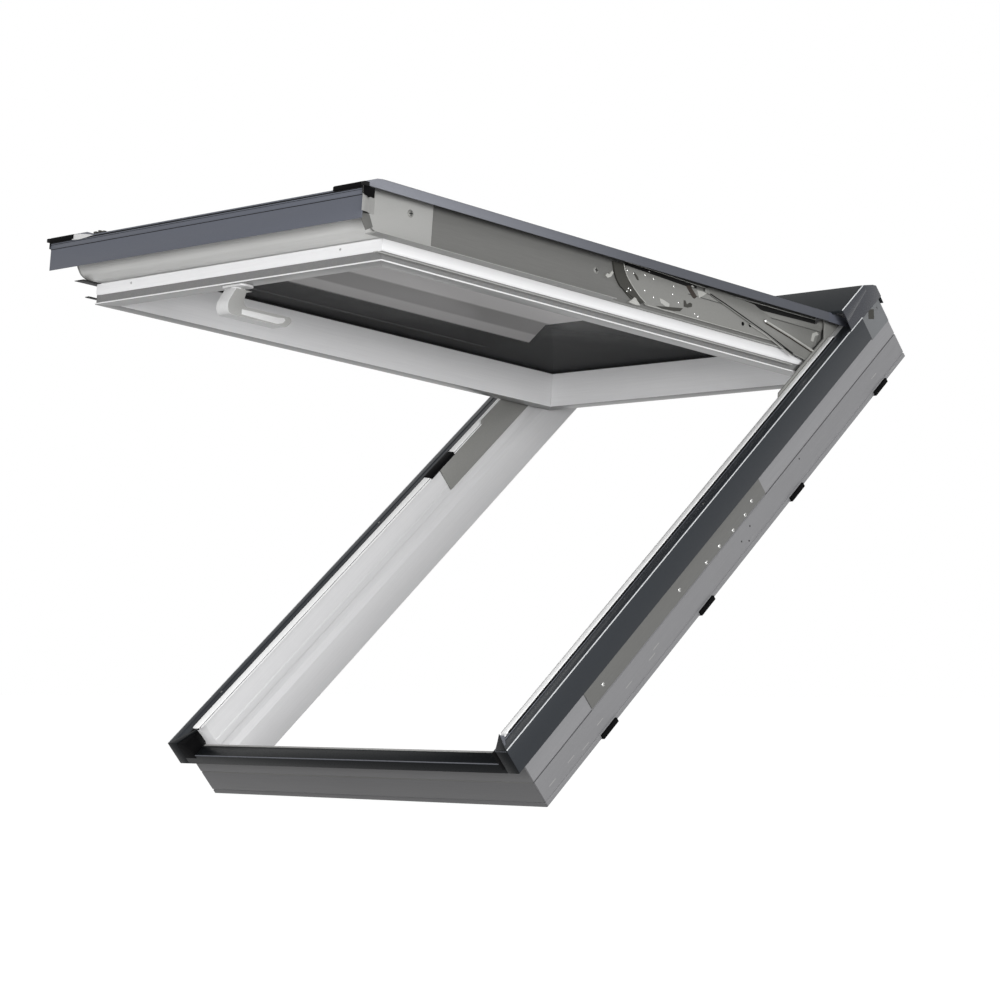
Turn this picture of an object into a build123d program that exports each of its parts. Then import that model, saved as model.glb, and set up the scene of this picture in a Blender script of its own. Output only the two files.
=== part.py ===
"""Roof window, top hung, standing open by 45 degrees.

The frame lies in a roof of 40 degrees. Frame positions are given as x across the window from its
middle, v up the slope from the frame's lower edge and w outward from its room-side face.
Sash positions are given the same way for the closed sash, which the sash planes then swing open.
All lengths are in millimetres.
"""
import os
from math import cos, radians, sin

from build123d import *

os.makedirs("parts", exist_ok=True)

# Overall size and pose
frame_width = 780
frame_height = 1188
roof_pitch = 40
opening_angle = 45
middle_v = frame_height / 2
hinge_from_top = 104.5
hinge_v = frame_height - hinge_from_top

# Plastic frame section, measured from its outer edge inward
frame_depth = 84
room_side_width = 43.4
rebate_width = 35
rebate_step_w = 54
rebate_slope = 9
jamb_top_w = 125.5
sill_top_w = 101
sill_strip_width = 8
sill_step_w = 74
bead_low_w = 76
bead_high_w = 88
bead_height = 1.5
side_groove_w = 48
edge_groove_w = 8
groove_width = 2.5
groove_depth = 1.5

# Metal covers of the frame
cover_overhang = 8
cover_sheet = 1.5
cover_top_w = 128.5
cover_tray_w = 127
cover_rim_width = 12
cover_inner_edge = 21
cover_front_v = -20
cover_low_w = 84
sill_ledge_w = 102.5
sill_ledge_v = 5
cover_end_width = 23
corner_inner_v = 20
corner_inner_width = 37
jamb_cover_top_v = frame_height - 68

# Light seal on the jambs
jamb_seal_width = 13
jamb_seal_high_w = 129.8
jamb_seal_low_w = 128
jamb_seal_top_v = frame_height - 122

# Hood over the head
hood_front_v = frame_height - 106
hood_top_w = 169
hood_crest_v = frame_height - 29
hood_slope_v = frame_height - 5.5
hood_slope_w = 154
hood_back_v = frame_height + cover_sheet
hood_back_w = 147.6
hood_low_w = 112
hood_lip = 6

# Clips on the room-side edge of the jambs
clip_length = 43
clip_pitch = 303.5
clip_first_v = 181
clip_count = 4
clip_proud = 4
clip_wrap = 10
clip_sheet = 2

# Side plates of the frame
side_plate_low_v = 170
side_plate_high_v = middle_v + 127
side_plate_low_w = 50
side_plate_high_w = 82
side_plate_sheet = 1.5
head_plate_low_v = frame_height - 61
head_plate_high_v = frame_height - 1
head_plate_low_w = 77
head_plate_high_w = 124
head_slot_v = frame_height - 34
head_slot_w = 112
head_slot_length = 18
head_slot_width = 7
head_hole_v = frame_height - 16
head_hole_radius = 2.5

# Sash, in the closed position
sash_side_gap = 47.5
sash_width = frame_width - 2 * sash_side_gap
sash_low_v = 47.5
sash_high_v = frame_height - 56.5
sash_room_w = 49
sash_top_w = 140
sash_face_width = 30
sash_rail_width = 46
glass_thickness = 30
seal_height = 2
reveal_top_w = sash_top_w - glass_thickness - seal_height
glass_ledge_width = 18
lip_height = 2.5
groove_recess = 3
band_low_w = 65
band_high_w = 83
band_recess = 1
shoulder_recess = 6

# Glazing
glass_low_w = reveal_top_w + seal_height
glass_high_w = sash_top_w
glass_edge_gap = 2
seal_lip = 3

# Grey profile under the skirt
flange_front_v = 9
flange_side = 4.5
flange_low_w = 85
flange_top_w = sash_top_w + 1
flange_end_v = 141
foot_round_depth = 20
foot_round_height = 27

# Skirt and covers of the sash
skirt_v = -25
skirt_sheet = 1.5
skirt_top_w = flange_top_w + skirt_sheet
skirt_low_w = skirt_top_w - 48
skirt_fold_w = skirt_top_w - 13.5
skirt_back_v = 70
skirt_side_gap = 16.5
skirt_half_width = frame_width / 2 - skirt_side_gap
side_cover_low_w = skirt_top_w + 1.5
side_cover_top_w = skirt_top_w + 18.5
side_cover_width = 62
side_cover_front_v = -22
side_cover_end_v = frame_height - 124
side_cover_round = 5
nose_length = 47
nose_depth = 12
plate_rise = 12
plate_top_w = skirt_top_w + plate_rise
top_cover_low_v = frame_height - 118
cap_front_v = skirt_v - 4.5
cap_low_w = skirt_top_w - 2.7
cap_round = 2.5
block_length = 24
block_sheet = 1.5
flank_low_w = skirt_low_w + 19
flank_front_v = skirt_v + 17

# Lip seals along the sides of the sash
upper_lip_v = 18
upper_lip_reach = 19
upper_lip_tip = 0.8
lower_lip_v = 33
lower_lip_w = 58.5
lower_lip_reach = 6.5
lower_lip_sheet = 1.5
seal_end_v = frame_height - 188

# Hinge arm, guide plate and strut
hinge_w = skirt_top_w + 4
arm_thickness = 3
arm_low_v = middle_v - 42
arm_low_w = skirt_fold_w
guide_radius = 107
guide_centre_v = middle_v + 34.6
guide_centre_w = 193
guide_width = 14
guide_end_v = guide_centre_v - 16.6
plate_edge_radius = 215
plate_edge_centre_v = middle_v + 139.5
plate_edge_centre_w = 273
plate_low_w = 90
plate_end_v = middle_v + 128
strut_thickness = 2
strut_gap = 0.5
strut_pin_v = middle_v + 176
strut_pin_w = 142
strut_pin_radius = 5
strut_head_reach = 8
strut_elbow_v = hinge_v - 168.5
strut_elbow_w = 133
strut_foot_v = hinge_v - 17.5
strut_foot_low_w = 68
strut_foot_high_w = 84
strut_foot_bend = 26
strut_foot_length = 66
pin_radius = 6
bracket_thickness = 3.5
bracket_low_v = middle_v + 156
bracket_high_v = frame_height - 70
bracket_low_w = 80
bracket_step_v = hinge_v - 193.5
bracket_step_w = 132
bracket_ear_reach = 26
bracket_clearance = 1

# Handle
handle_v = sash_low_v + 16.5
handle_plate_width = 54
handle_plate_depth = 26
handle_plate_thickness = 4
handle_width = 28
handle_hub_radius = 12
handle_reach = 28.5
handle_neck = 14
handle_bend = 13.5
handle_tip = 16
handle_hub_height = 3
grip_end_v = handle_v + 102
grip_low_w = -1
grip_thickness = 17

half_frame = frame_width / 2
half_sash = sash_width / 2
jamb_inner_x = half_frame - room_side_width

# Directions of the frame and of the open sash
across = Vector(1, 0, 0)
up_slope = Vector(0, cos(radians(roof_pitch)), sin(radians(roof_pitch)))
outward = Vector(0, -sin(radians(roof_pitch)), cos(radians(roof_pitch)))
sash_tilt = roof_pitch - opening_angle
sash_up = Vector(0, cos(radians(sash_tilt)), sin(radians(sash_tilt)))
sash_out = Vector(0, -sin(radians(sash_tilt)), cos(radians(sash_tilt)))
sill_face_middle = up_slope * (room_side_width / 2)


def frame_point(x, v, w):
    """A point of the frame."""
    return across * x + up_slope * v + outward * w - sill_face_middle


hinge_point = frame_point(0, hinge_v, hinge_w)


def sash_point(x, v, w):
    """A point of the open sash, given where it is on the closed one."""
    return hinge_point + across * x + sash_up * (v - hinge_v) + sash_out * (w - hinge_w)


def frame_section(x=0):
    """Sketch plane across the frame: first v, then w."""
    return Plane(origin=frame_point(x, 0, 0), x_dir=up_slope, z_dir=across)


def frame_cut(v):
    """Sketch plane that cuts the jambs: first x, then w, extruded toward the sill."""
    return Plane(origin=frame_point(0, v, 0), x_dir=across, z_dir=-up_slope)


def frame_plan(w=0):
    """Sketch plane seen from outside: first x, then v."""
    return Plane(origin=frame_point(0, 0, w), x_dir=across, z_dir=outward)


def sash_section(x=0):
    """Sketch plane across the sash: first v, then w."""
    return Plane(origin=sash_point(x, 0, 0), x_dir=sash_up, z_dir=across)


def sash_cut(v):
    """Sketch plane that cuts the stiles: first x, then w, extruded toward the foot."""
    return Plane(origin=sash_point(0, v, 0), x_dir=across, z_dir=-sash_up)


def sash_plan(w=0):
    """Sketch plane of the sash seen from outside: first x, then v."""
    return Plane(origin=sash_point(0, 0, w), x_dir=across, z_dir=sash_out)


# Frame profiles, mitred at the corners
def grooved_side(d):
    """Outer side of a frame profile, with its two shallow grooves."""
    half = groove_width / 2
    points = [d(0, 0)]
    for w in (edge_groove_w, side_groove_w):
        points += [d(0, w - half), d(groove_depth, w), d(0, w + half)]
    return points


def jamb_outline(d):
    """Outline of a jamb or head profile, from its outer side round to its inner side."""
    return grooved_side(d) + [
        d(0, jamb_top_w),
        d(rebate_width, jamb_top_w),
        d(rebate_width, bead_high_w + bead_height),
        d(rebate_width + bead_height, bead_high_w),
        d(rebate_width + bead_height, bead_low_w),
        d(rebate_width, bead_low_w - bead_height),
        d(rebate_width, rebate_step_w + rebate_slope),
        d(room_side_width, rebate_step_w),
        d(room_side_width, 0),
    ]


def sill_outline(d):
    """Outline of the sill profile, whose inner part is lower."""
    return grooved_side(d) + [
        d(0, sill_top_w),
        d(sill_strip_width, sill_top_w),
        d(sill_strip_width, sill_step_w),
        d(rebate_width, rebate_step_w + rebate_slope),
        d(room_side_width, rebate_step_w),
        d(room_side_width, 0),
    ]


with BuildPart() as frame_sill:
    with BuildSketch(frame_section()):
        Polygon(*sill_outline(lambda d, w: (d, w)), align=None)
    extrude(amount=half_frame, both=True)
    with BuildSketch(frame_plan()):
        Polygon(
            (-half_frame, 0),
            (half_frame, 0),
            (half_frame - room_side_width, room_side_width),
            (room_side_width - half_frame, room_side_width),
            align=None,
        )
    extrude(amount=hood_top_w, mode=Mode.INTERSECT)
frame_sill.part.label = "frame_sill"
export_step(frame_sill.part, "parts/frame_sill.step")

with BuildPart() as frame_head:
    with BuildSketch(frame_section()):
        Polygon(*jamb_outline(lambda d, w: (frame_height - d, w)), align=None)
    extrude(amount=half_frame, both=True)
    with BuildSketch(frame_plan()):
        Polygon(
            (-half_frame, frame_height),
            (half_frame, frame_height),
            (half_frame - room_side_width, frame_height - room_side_width),
            (room_side_width - half_frame, frame_height - room_side_width),
            align=None,
        )
    extrude(amount=hood_top_w, mode=Mode.INTERSECT)
frame_head.part.label = "frame_head"
export_step(frame_head.part, "parts/frame_head.step")

with BuildPart() as frame_left_jamb:
    with BuildSketch(frame_cut(frame_height)):
        Polygon(*jamb_outline(lambda d, w: (d - half_frame, w)), align=None)
    extrude(amount=frame_height)
    with BuildSketch(frame_plan()):
        Polygon(
            (-half_frame, 0),
            (room_side_width - half_frame, room_side_width),
            (room_side_width - half_frame, frame_height - room_side_width),
            (-half_frame, frame_height),
            align=None,
        )
    extrude(amount=hood_top_w, mode=Mode.INTERSECT)
    bead_cut_w = (bracket_low_w + bead_high_w) / 2 + bracket_clearance
    with BuildSketch(frame_cut(bracket_high_v + bracket_clearance)):
        with Locations((rebate_width - half_frame + bead_height, bead_cut_w)):
            Rectangle(2 * bead_height, bead_high_w - bracket_low_w + 4 * bracket_clearance)
    extrude(amount=bracket_high_v - bracket_low_v + 2 * bracket_clearance, mode=Mode.SUBTRACT)
frame_left_jamb.part.label = "frame_left_jamb"
export_step(frame_left_jamb.part, "parts/frame_left_jamb.step")

with BuildPart() as frame_right_jamb:
    mirror(frame_left_jamb.part, about=Plane.YZ)
frame_right_jamb.part.label = "frame_right_jamb"
export_step(frame_right_jamb.part, "parts/frame_right_jamb.step")

# Metal cover along the sill: a front wall with a flat ledge on top
with BuildPart() as sill_cover:
    with BuildSketch(frame_section()):
        Polygon(
            (0, cover_low_w),
            (cover_front_v, cover_low_w),
            (cover_front_v, sill_ledge_w),
            (sill_ledge_v, sill_ledge_w),
            (sill_ledge_v, sill_top_w),
            (cover_front_v + cover_sheet, sill_top_w),
            (cover_front_v + cover_sheet, cover_low_w + cover_sheet),
            (0, cover_low_w + cover_sheet),
            align=None,
        )
    extrude(amount=half_frame + cover_overhang - cover_end_width, both=True)
sill_cover.part.label = "sill_cover"
export_step(sill_cover.part, "parts/sill_cover.step")

# Light seal along the inner edge of the sill's ledge
with BuildPart() as sill_seal:
    with BuildSketch(frame_section()):
        Polygon(
            (sill_ledge_v, sill_top_w),
            (sill_ledge_v, sill_ledge_w + 1),
            (sill_strip_width, sill_ledge_w + 1),
            (sill_strip_width, sill_top_w),
            align=None,
        )
    extrude(amount=half_frame - corner_inner_width - sill_strip_width, both=True)
sill_seal.part.label = "sill_seal"
export_step(sill_seal.part, "parts/sill_seal.step")

# Metal covers along the jambs: an outer wall, a raised rim and a shallow tray
with BuildPart() as left_jamb_cover:
    with BuildSketch(frame_cut(jamb_cover_top_v)):
        Polygon(
            (-half_frame, cover_low_w),
            (-half_frame - cover_overhang, cover_low_w),
            (-half_frame - cover_overhang, cover_top_w),
            (-half_frame - cover_overhang + cover_rim_width, cover_top_w),
            (-half_frame - cover_overhang + cover_rim_width + cover_sheet, cover_tray_w),
            (-half_frame + cover_inner_edge, cover_tray_w),
            (-half_frame + cover_inner_edge, jamb_top_w),
            (-half_frame - cover_overhang + cover_sheet, jamb_top_w),
            (-half_frame - cover_overhang + cover_sheet, cover_low_w + cover_sheet),
            (-half_frame, cover_low_w + cover_sheet),
            align=None,
        )
    extrude(amount=jamb_cover_top_v - cover_front_v - cover_sheet)
    with BuildSketch(frame_plan(jamb_top_w)):
        Polygon(
            (-half_frame - cover_overhang + cover_sheet, cover_front_v + cover_sheet),
            (-half_frame + corner_inner_width, corner_inner_v),
            (-half_frame + corner_inner_width, cover_front_v + cover_sheet),
            align=None,
        )
    extrude(amount=hood_top_w, mode=Mode.SUBTRACT)
left_jamb_cover.part.label = "left_jamb_cover"
export_step(left_jamb_cover.part, "parts/left_jamb_cover.step")

with BuildPart() as right_jamb_cover:
    mirror(left_jamb_cover.part, about=Plane.YZ)
right_jamb_cover.part.label = "right_jamb_cover"
export_step(right_jamb_cover.part, "parts/right_jamb_cover.step")

# Light seals that stand along the inner edge of the jamb covers
with BuildPart() as jamb_seals:
    with BuildSketch(frame_cut(jamb_seal_top_v)):
        Polygon(
            (-half_frame + cover_inner_edge, jamb_top_w),
            (-half_frame + cover_inner_edge, jamb_seal_high_w),
            (-half_frame + cover_inner_edge + jamb_seal_width, jamb_seal_low_w),
            (-half_frame + cover_inner_edge + jamb_seal_width, jamb_top_w),
            align=None,
        )
    extrude(amount=jamb_seal_top_v - corner_inner_v)
    mirror(about=Plane.YZ)
jamb_seals.part.label = "jamb_seals"
export_step(jamb_seals.part, "parts/jamb_seals.step")

# Metal end pieces where the jamb covers meet the sill
with BuildPart() as cover_ends:
    with BuildSketch(frame_plan(cover_low_w)):
        Polygon(
            (-half_frame - cover_overhang, cover_front_v),
            (-half_frame - cover_overhang + cover_end_width, cover_front_v),
            (-half_frame - cover_overhang + cover_end_width, cover_front_v + cover_sheet),
            (-half_frame - cover_overhang, cover_front_v + cover_sheet),
            align=None,
        )
    extrude(amount=cover_top_w - cover_low_w)
    with BuildSketch(frame_plan(jamb_top_w)):
        Polygon(
            (-half_frame - cover_overhang + cover_sheet, cover_front_v + cover_sheet),
            (-half_frame - cover_overhang + cover_end_width, cover_front_v + cover_sheet),
            (-half_frame + corner_inner_width, corner_inner_v),
            align=None,
        )
    extrude(amount=cover_top_w - jamb_top_w)
    mirror(about=Plane.YZ)
cover_ends.part.label = "cover_ends"
export_step(cover_ends.part, "parts/cover_ends.step")

# Black plugs that close the lower ends of the jambs
plug_front_width = 7
plug_back_v = 17
plug_back_width = 45
plug_foot_w = 76
plug_gap = 1

with BuildPart() as corner_plugs:
    with BuildSketch(frame_plan(sill_ledge_w)):
        Polygon(
            (-half_frame - cover_overhang + cover_end_width + plug_gap, cover_front_v),
            (-half_frame - cover_overhang + cover_end_width + plug_front_width, cover_front_v),
            (-half_frame + plug_back_width, sill_ledge_v),
            (-half_frame + plug_back_width, plug_back_v),
            (-half_frame + corner_inner_width - plug_gap, plug_back_v),
            align=None,
        )
    extrude(amount=cover_top_w - sill_ledge_w)
    with BuildSketch(frame_plan(plug_foot_w)):
        with Locations((-half_frame + plug_back_width - 5, (sill_strip_width + plug_back_v) / 2 + 0.5)):
            Rectangle(9, plug_back_v - sill_strip_width - 1)
    extrude(amount=sill_ledge_w - plug_foot_w)
    mirror(about=Plane.YZ)
corner_plugs.part.label = "corner_plugs"
export_step(corner_plugs.part, "parts/corner_plugs.step")

# Sheet hood over the head, open toward the sash
with BuildPart() as head_hood:
    with BuildSketch(frame_section()):
        with BuildLine():
            hood_line = Polyline(
                (hood_front_v, hood_top_w - hood_lip),
                (hood_front_v, hood_top_w),
                (hood_crest_v, hood_top_w),
                (hood_slope_v, hood_slope_w),
                (hood_back_v, hood_back_w),
                (hood_back_v, hood_low_w),
            )
            offset(hood_line, amount=cover_sheet, side=Side.RIGHT)
        make_face()
    extrude(amount=half_frame + cover_overhang - cover_sheet, both=True)
head_hood.part.label = "head_hood"
export_step(head_hood.part, "parts/head_hood.step")

with BuildPart() as hood_ends:
    with BuildSketch(frame_section(-half_frame - cover_overhang)):
        Polygon(
            (hood_front_v, cover_top_w),
            (hood_front_v, hood_top_w),
            (hood_crest_v, hood_top_w),
            (hood_slope_v, hood_slope_w),
            (hood_back_v, hood_back_w),
            (hood_back_v, jamb_top_w),
            (jamb_cover_top_v, jamb_top_w),
            (jamb_cover_top_v, cover_top_w),
            align=None,
        )
    extrude(amount=cover_sheet)
    mirror(about=Plane.YZ)
hood_ends.part.label = "hood_ends"
export_step(hood_ends.part, "parts/hood_ends.step")

# Black clips round the room-side edge of the jambs
with BuildPart() as edge_clips:
    for step in range(clip_count):
        with BuildSketch(frame_cut(clip_first_v + clip_length / 2 + step * clip_pitch)):
            Polygon(
                (-half_frame, 0),
                (-half_frame, clip_wrap - clip_sheet * 2),
                (-half_frame - clip_proud, clip_wrap - clip_sheet * 2),
                (-half_frame - clip_proud, -clip_sheet),
                (-half_frame + clip_wrap, -clip_sheet),
                (-half_frame + clip_wrap, 0),
                align=None,
            )
        extrude(amount=clip_length)
    mirror(about=Plane.YZ)
edge_clips.part.label = "edge_clips"
export_step(edge_clips.part, "parts/edge_clips.step")

# Thin plates on the outer sides of the jambs
with BuildPart() as side_plates:
    with BuildSketch(frame_section(-half_frame - side_plate_sheet)):
        with Locations(
            ((side_plate_low_v + side_plate_high_v) / 2, (side_plate_low_w + side_plate_high_w) / 2)
        ):
            Rectangle(side_plate_high_v - side_plate_low_v, side_plate_high_w - side_plate_low_w)
    extrude(amount=side_plate_sheet)
    mirror(about=Plane.YZ)
side_plates.part.label = "side_plates"
export_step(side_plates.part, "parts/side_plates.step")

with BuildPart() as head_plates:
    with BuildSketch(frame_section(-half_frame - side_plate_sheet)):
        with Locations(
            ((head_plate_low_v + head_plate_high_v) / 2, (head_plate_low_w + head_plate_high_w) / 2)
        ):
            Rectangle(head_plate_high_v - head_plate_low_v, head_plate_high_w - head_plate_low_w)
        with Locations((head_slot_v, head_slot_w)):
            SlotOverall(head_slot_length, head_slot_width, rotation=90, mode=Mode.SUBTRACT)
        with Locations((head_hole_v, head_slot_w)):
            Circle(head_hole_radius, mode=Mode.SUBTRACT)
    extrude(amount=side_plate_sheet)
    mirror(about=Plane.YZ)
head_plates.part.label = "head_plates"
export_step(head_plates.part, "parts/head_plates.step")


# Sash profiles, mitred at the corners
def sash_outline(d):
    """Outline of a sash profile: outer side, glass ledge, sloping reveal and room face."""
    return [
        d(0, sash_room_w),
        d(0, sash_room_w + lip_height),
        d(groove_recess, sash_room_w + lip_height + 1),
        d(groove_recess, band_low_w - 1),
        d(band_recess + 1, band_low_w),
        d(band_recess, band_low_w + 2),
        d(band_recess, band_high_w),
        d(shoulder_recess, band_high_w + 1),
        d(shoulder_recess, sash_top_w),
        d(glass_ledge_width, sash_top_w),
        d(glass_ledge_width, reveal_top_w),
        d(sash_rail_width, reveal_top_w),
        d(sash_face_width, sash_room_w),
    ]


with BuildPart() as sash_bottom_rail:
    with BuildSketch(sash_section()):
        Polygon(*sash_outline(lambda d, w: (sash_low_v + d, w)), align=None)
    extrude(amount=half_sash, both=True)
    with BuildSketch(sash_plan()):
        Polygon(
            (-half_sash, sash_low_v),
            (half_sash, sash_low_v),
            (half_sash - sash_rail_width, sash_low_v + sash_rail_width),
            (sash_rail_width - half_sash, sash_low_v + sash_rail_width),
            align=None,
        )
    extrude(amount=hood_top_w, mode=Mode.INTERSECT)
sash_bottom_rail.part.label = "sash_bottom_rail"
export_step(sash_bottom_rail.part, "parts/sash_bottom_rail.step")

with BuildPart() as sash_top_rail:
    with BuildSketch(sash_section()):
        Polygon(*sash_outline(lambda d, w: (sash_high_v - d, w)), align=None)
    extrude(amount=half_sash, both=True)
    with BuildSketch(sash_plan()):
        Polygon(
            (-half_sash, sash_high_v),
            (half_sash, sash_high_v),
            (half_sash - sash_rail_width, sash_high_v - sash_rail_width),
            (sash_rail_width - half_sash, sash_high_v - sash_rail_width),
            align=None,
        )
    extrude(amount=hood_top_w, mode=Mode.INTERSECT)
sash_top_rail.part.label = "sash_top_rail"
export_step(sash_top_rail.part, "parts/sash_top_rail.step")

with BuildPart() as sash_left_stile:
    with BuildSketch(sash_cut(sash_high_v)):
        Polygon(*sash_outline(lambda d, w: (d - half_sash, w)), align=None)
    extrude(amount=sash_high_v - sash_low_v)
    with BuildSketch(sash_plan()):
        Polygon(
            (-half_sash, sash_low_v),
            (sash_rail_width - half_sash, sash_low_v + sash_rail_width),
            (sash_rail_width - half_sash, sash_high_v - sash_rail_width),
            (-half_sash, sash_high_v),
            align=None,
        )
    extrude(amount=hood_top_w, mode=Mode.INTERSECT)
sash_left_stile.part.label = "sash_left_stile"
export_step(sash_left_stile.part, "parts/sash_left_stile.step")

with BuildPart() as sash_right_stile:
    mirror(sash_left_stile.part, about=Plane.YZ)
sash_right_stile.part.label = "sash_right_stile"
export_step(sash_right_stile.part, "parts/sash_right_stile.step")

# Glazing and its seals
glass_inset = glass_ledge_width + glass_edge_gap
seal_outer = sash_rail_width + seal_lip

with BuildPart() as glazing_unit:
    with BuildSketch(sash_plan(glass_low_w)):
        with Locations((0, (sash_low_v + sash_high_v) / 2)):
            Rectangle(sash_width - 2 * glass_inset, sash_high_v - sash_low_v - 2 * glass_inset)
    extrude(amount=glass_high_w - glass_low_w)
glazing_unit.part.label = "glazing_unit"
export_step(glazing_unit.part, "parts/glazing_unit.step")

with BuildPart() as glazing_end_seals:
    with BuildSketch(sash_plan(reveal_top_w)):
        for v in (
            sash_low_v + (glass_inset + seal_outer) / 2,
            sash_high_v - (glass_inset + seal_outer) / 2,
        ):
            with Locations((0, v)):
                Rectangle(sash_width - 2 * glass_inset, seal_outer - glass_inset)
    extrude(amount=seal_height)
glazing_end_seals.part.label = "glazing_end_seals"
export_step(glazing_end_seals.part, "parts/glazing_end_seals.step")

with BuildPart() as glazing_side_seals:
    with BuildSketch(sash_plan(reveal_top_w)):
        for x in (
            -half_sash + (glass_inset + seal_outer) / 2,
            half_sash - (glass_inset + seal_outer) / 2,
        ):
            with Locations((x, (sash_low_v + sash_high_v) / 2)):
                Rectangle(seal_outer - glass_inset, sash_high_v - sash_low_v - 2 * seal_outer)
    extrude(amount=seal_height)
glazing_side_seals.part.label = "glazing_side_seals"
export_step(glazing_side_seals.part, "parts/glazing_side_seals.step")

# Grey hollow-backed profile along the foot of the sash, under the skirt
with BuildPart() as sash_foot_profile:
    with BuildSketch(sash_section()):
        with BuildLine():
            foot_low = Line((sash_low_v + shoulder_recess, flange_low_w), (sash_low_v - 10, flange_low_w))
            foot_curve = Spline(
                foot_low @ 1,
                (flange_front_v + foot_round_depth, flange_low_w + foot_round_height / 10),
                (flange_front_v + foot_round_depth / 2, flange_low_w + foot_round_height / 3.6),
                (flange_front_v + foot_round_depth / 8, flange_low_w + foot_round_height / 1.52),
                (flange_front_v, flange_low_w + foot_round_height),
                tangents=((-1, 0.1), (0, 1)),
            )
            Polyline(
                foot_curve @ 1,
                (flange_front_v, flange_top_w),
                (sash_low_v + shoulder_recess, flange_top_w),
                foot_low @ 0,
            )
        make_face()
    extrude(amount=half_sash, both=True)
sash_foot_profile.part.label = "sash_foot_profile"
export_step(sash_foot_profile.part, "parts/sash_foot_profile.step")

# Lighter end pieces of that profile, and the metal plates that run on up the sides
side_x = half_sash - shoulder_recess
side_outer = half_sash + flange_side
plate_rise_end_v = side_cover_end_v - 4

with BuildPart() as foot_ends:
    with BuildSketch(sash_section(half_sash)):
        with BuildLine():
            end_low = Line((flange_end_v, flange_low_w), (sash_low_v - 10, flange_low_w))
            end_curve = Spline(
                end_low @ 1,
                (flange_front_v + foot_round_depth, flange_low_w + foot_round_height / 10),
                (flange_front_v + foot_round_depth / 2, flange_low_w + foot_round_height / 3.6),
                (flange_front_v + foot_round_depth / 8, flange_low_w + foot_round_height / 1.52),
                (flange_front_v, flange_low_w + foot_round_height),
                tangents=((-1, 0.1), (0, 1)),
            )
            Polyline(
                end_curve @ 1,
                (flank_front_v, flank_low_w),
                (skirt_v + skirt_sheet, flank_low_w + 6),
                (skirt_v + skirt_sheet, flange_top_w),
                (skirt_v + 7, flange_top_w),
                (skirt_v + 7, skirt_top_w + 3),
                (side_cover_front_v + nose_length, plate_top_w),
                (flange_end_v, plate_top_w),
                end_low @ 0,
            )
        make_face()
    extrude(amount=flange_side)
    with BuildSketch(sash_section(side_x)):
        with Locations(
            ((sash_low_v + shoulder_recess + flange_end_v) / 2, (flange_low_w + flange_top_w) / 2)
        ):
            Rectangle(flange_end_v - sash_low_v - shoulder_recess, flange_top_w - flange_low_w)
    extrude(amount=shoulder_recess)
    mirror(about=Plane.YZ)
foot_ends.part.label = "foot_ends"
export_step(foot_ends.part, "parts/foot_ends.step")

with BuildPart() as right_sash_plate:
    with BuildSketch(sash_cut(sash_high_v)):
        Polygon(
            (side_x, flange_low_w),
            (side_outer - 1, flange_low_w),
            (side_outer - 1, flange_top_w),
            (side_x, flange_top_w),
            align=None,
        )
    extrude(amount=sash_high_v - flange_end_v)
    with BuildSketch(sash_cut(plate_rise_end_v)):
        Polygon(
            (half_sash, flange_top_w),
            (side_outer - 1, flange_top_w),
            (side_outer - 1, plate_top_w),
            (half_sash, plate_top_w),
            align=None,
        )
    extrude(amount=plate_rise_end_v - flange_end_v)
right_sash_plate.part.label = "right_sash_plate"
export_step(right_sash_plate.part, "parts/right_sash_plate.step")

with BuildPart() as left_sash_plate:
    mirror(right_sash_plate.part, about=Plane.YZ)
left_sash_plate.part.label = "left_sash_plate"
export_step(left_sash_plate.part, "parts/left_sash_plate.step")

# Lip seals along the sides of the sash, whose ends stand out past its foot
with BuildPart() as side_lip_seals:
    with BuildSketch(sash_cut(seal_end_v)):
        Polygon(
            (side_x, band_high_w + 1),
            (half_sash - band_recess, band_high_w),
            (side_outer - 1, band_high_w),
            (side_outer - 1, flange_low_w),
            (side_x, flange_low_w),
            align=None,
        )
        Polygon(
            (half_sash - groove_recess, lower_lip_w),
            (half_sash + lower_lip_reach, lower_lip_w),
            (half_sash + lower_lip_reach, lower_lip_w + lower_lip_sheet),
            (half_sash - groove_recess, lower_lip_w + lower_lip_sheet),
            align=None,
        )
    extrude(amount=seal_end_v - lower_lip_v)
    with BuildSketch(sash_cut(arm_low_v - 14)):
        Polygon(
            (side_x, band_high_w + 1),
            (half_sash - band_recess, band_high_w),
            (side_outer - 1, band_high_w),
            (half_sash + upper_lip_reach, flange_low_w - upper_lip_tip),
            (half_sash + upper_lip_reach, flange_low_w),
            (side_x, flange_low_w),
            align=None,
        )
    extrude(amount=arm_low_v - 14 - upper_lip_v)
    mirror(about=Plane.YZ)
side_lip_seals.part.label = "side_lip_seals"
export_step(side_lip_seals.part, "parts/side_lip_seals.step")

# Skirt that hangs over the sill, with its top running up to the glass
side_notch = skirt_half_width - half_sash

with BuildPart() as sash_skirt:
    with BuildSketch(sash_section()):
        Polygon(
            (skirt_v, skirt_low_w),
            (skirt_v, skirt_fold_w),
            (skirt_v - skirt_sheet, skirt_fold_w + skirt_sheet),
            (skirt_v - skirt_sheet, skirt_top_w),
            (skirt_back_v, skirt_top_w),
            (skirt_back_v, skirt_top_w - skirt_sheet),
            (skirt_v, skirt_top_w - skirt_sheet),
            (skirt_v + skirt_sheet, skirt_top_w - skirt_sheet),
            (skirt_v + skirt_sheet, skirt_low_w),
            align=None,
        )
    extrude(amount=skirt_half_width, both=True)
    with BuildSketch(sash_plan(skirt_top_w - skirt_sheet)):
        for x in (-half_sash - side_notch / 2, half_sash + side_notch / 2):
            with Locations((x, (skirt_v + skirt_sheet + skirt_back_v) / 2)):
                Rectangle(side_notch, skirt_back_v - skirt_v - skirt_sheet)
    extrude(amount=skirt_sheet, mode=Mode.SUBTRACT)
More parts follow.
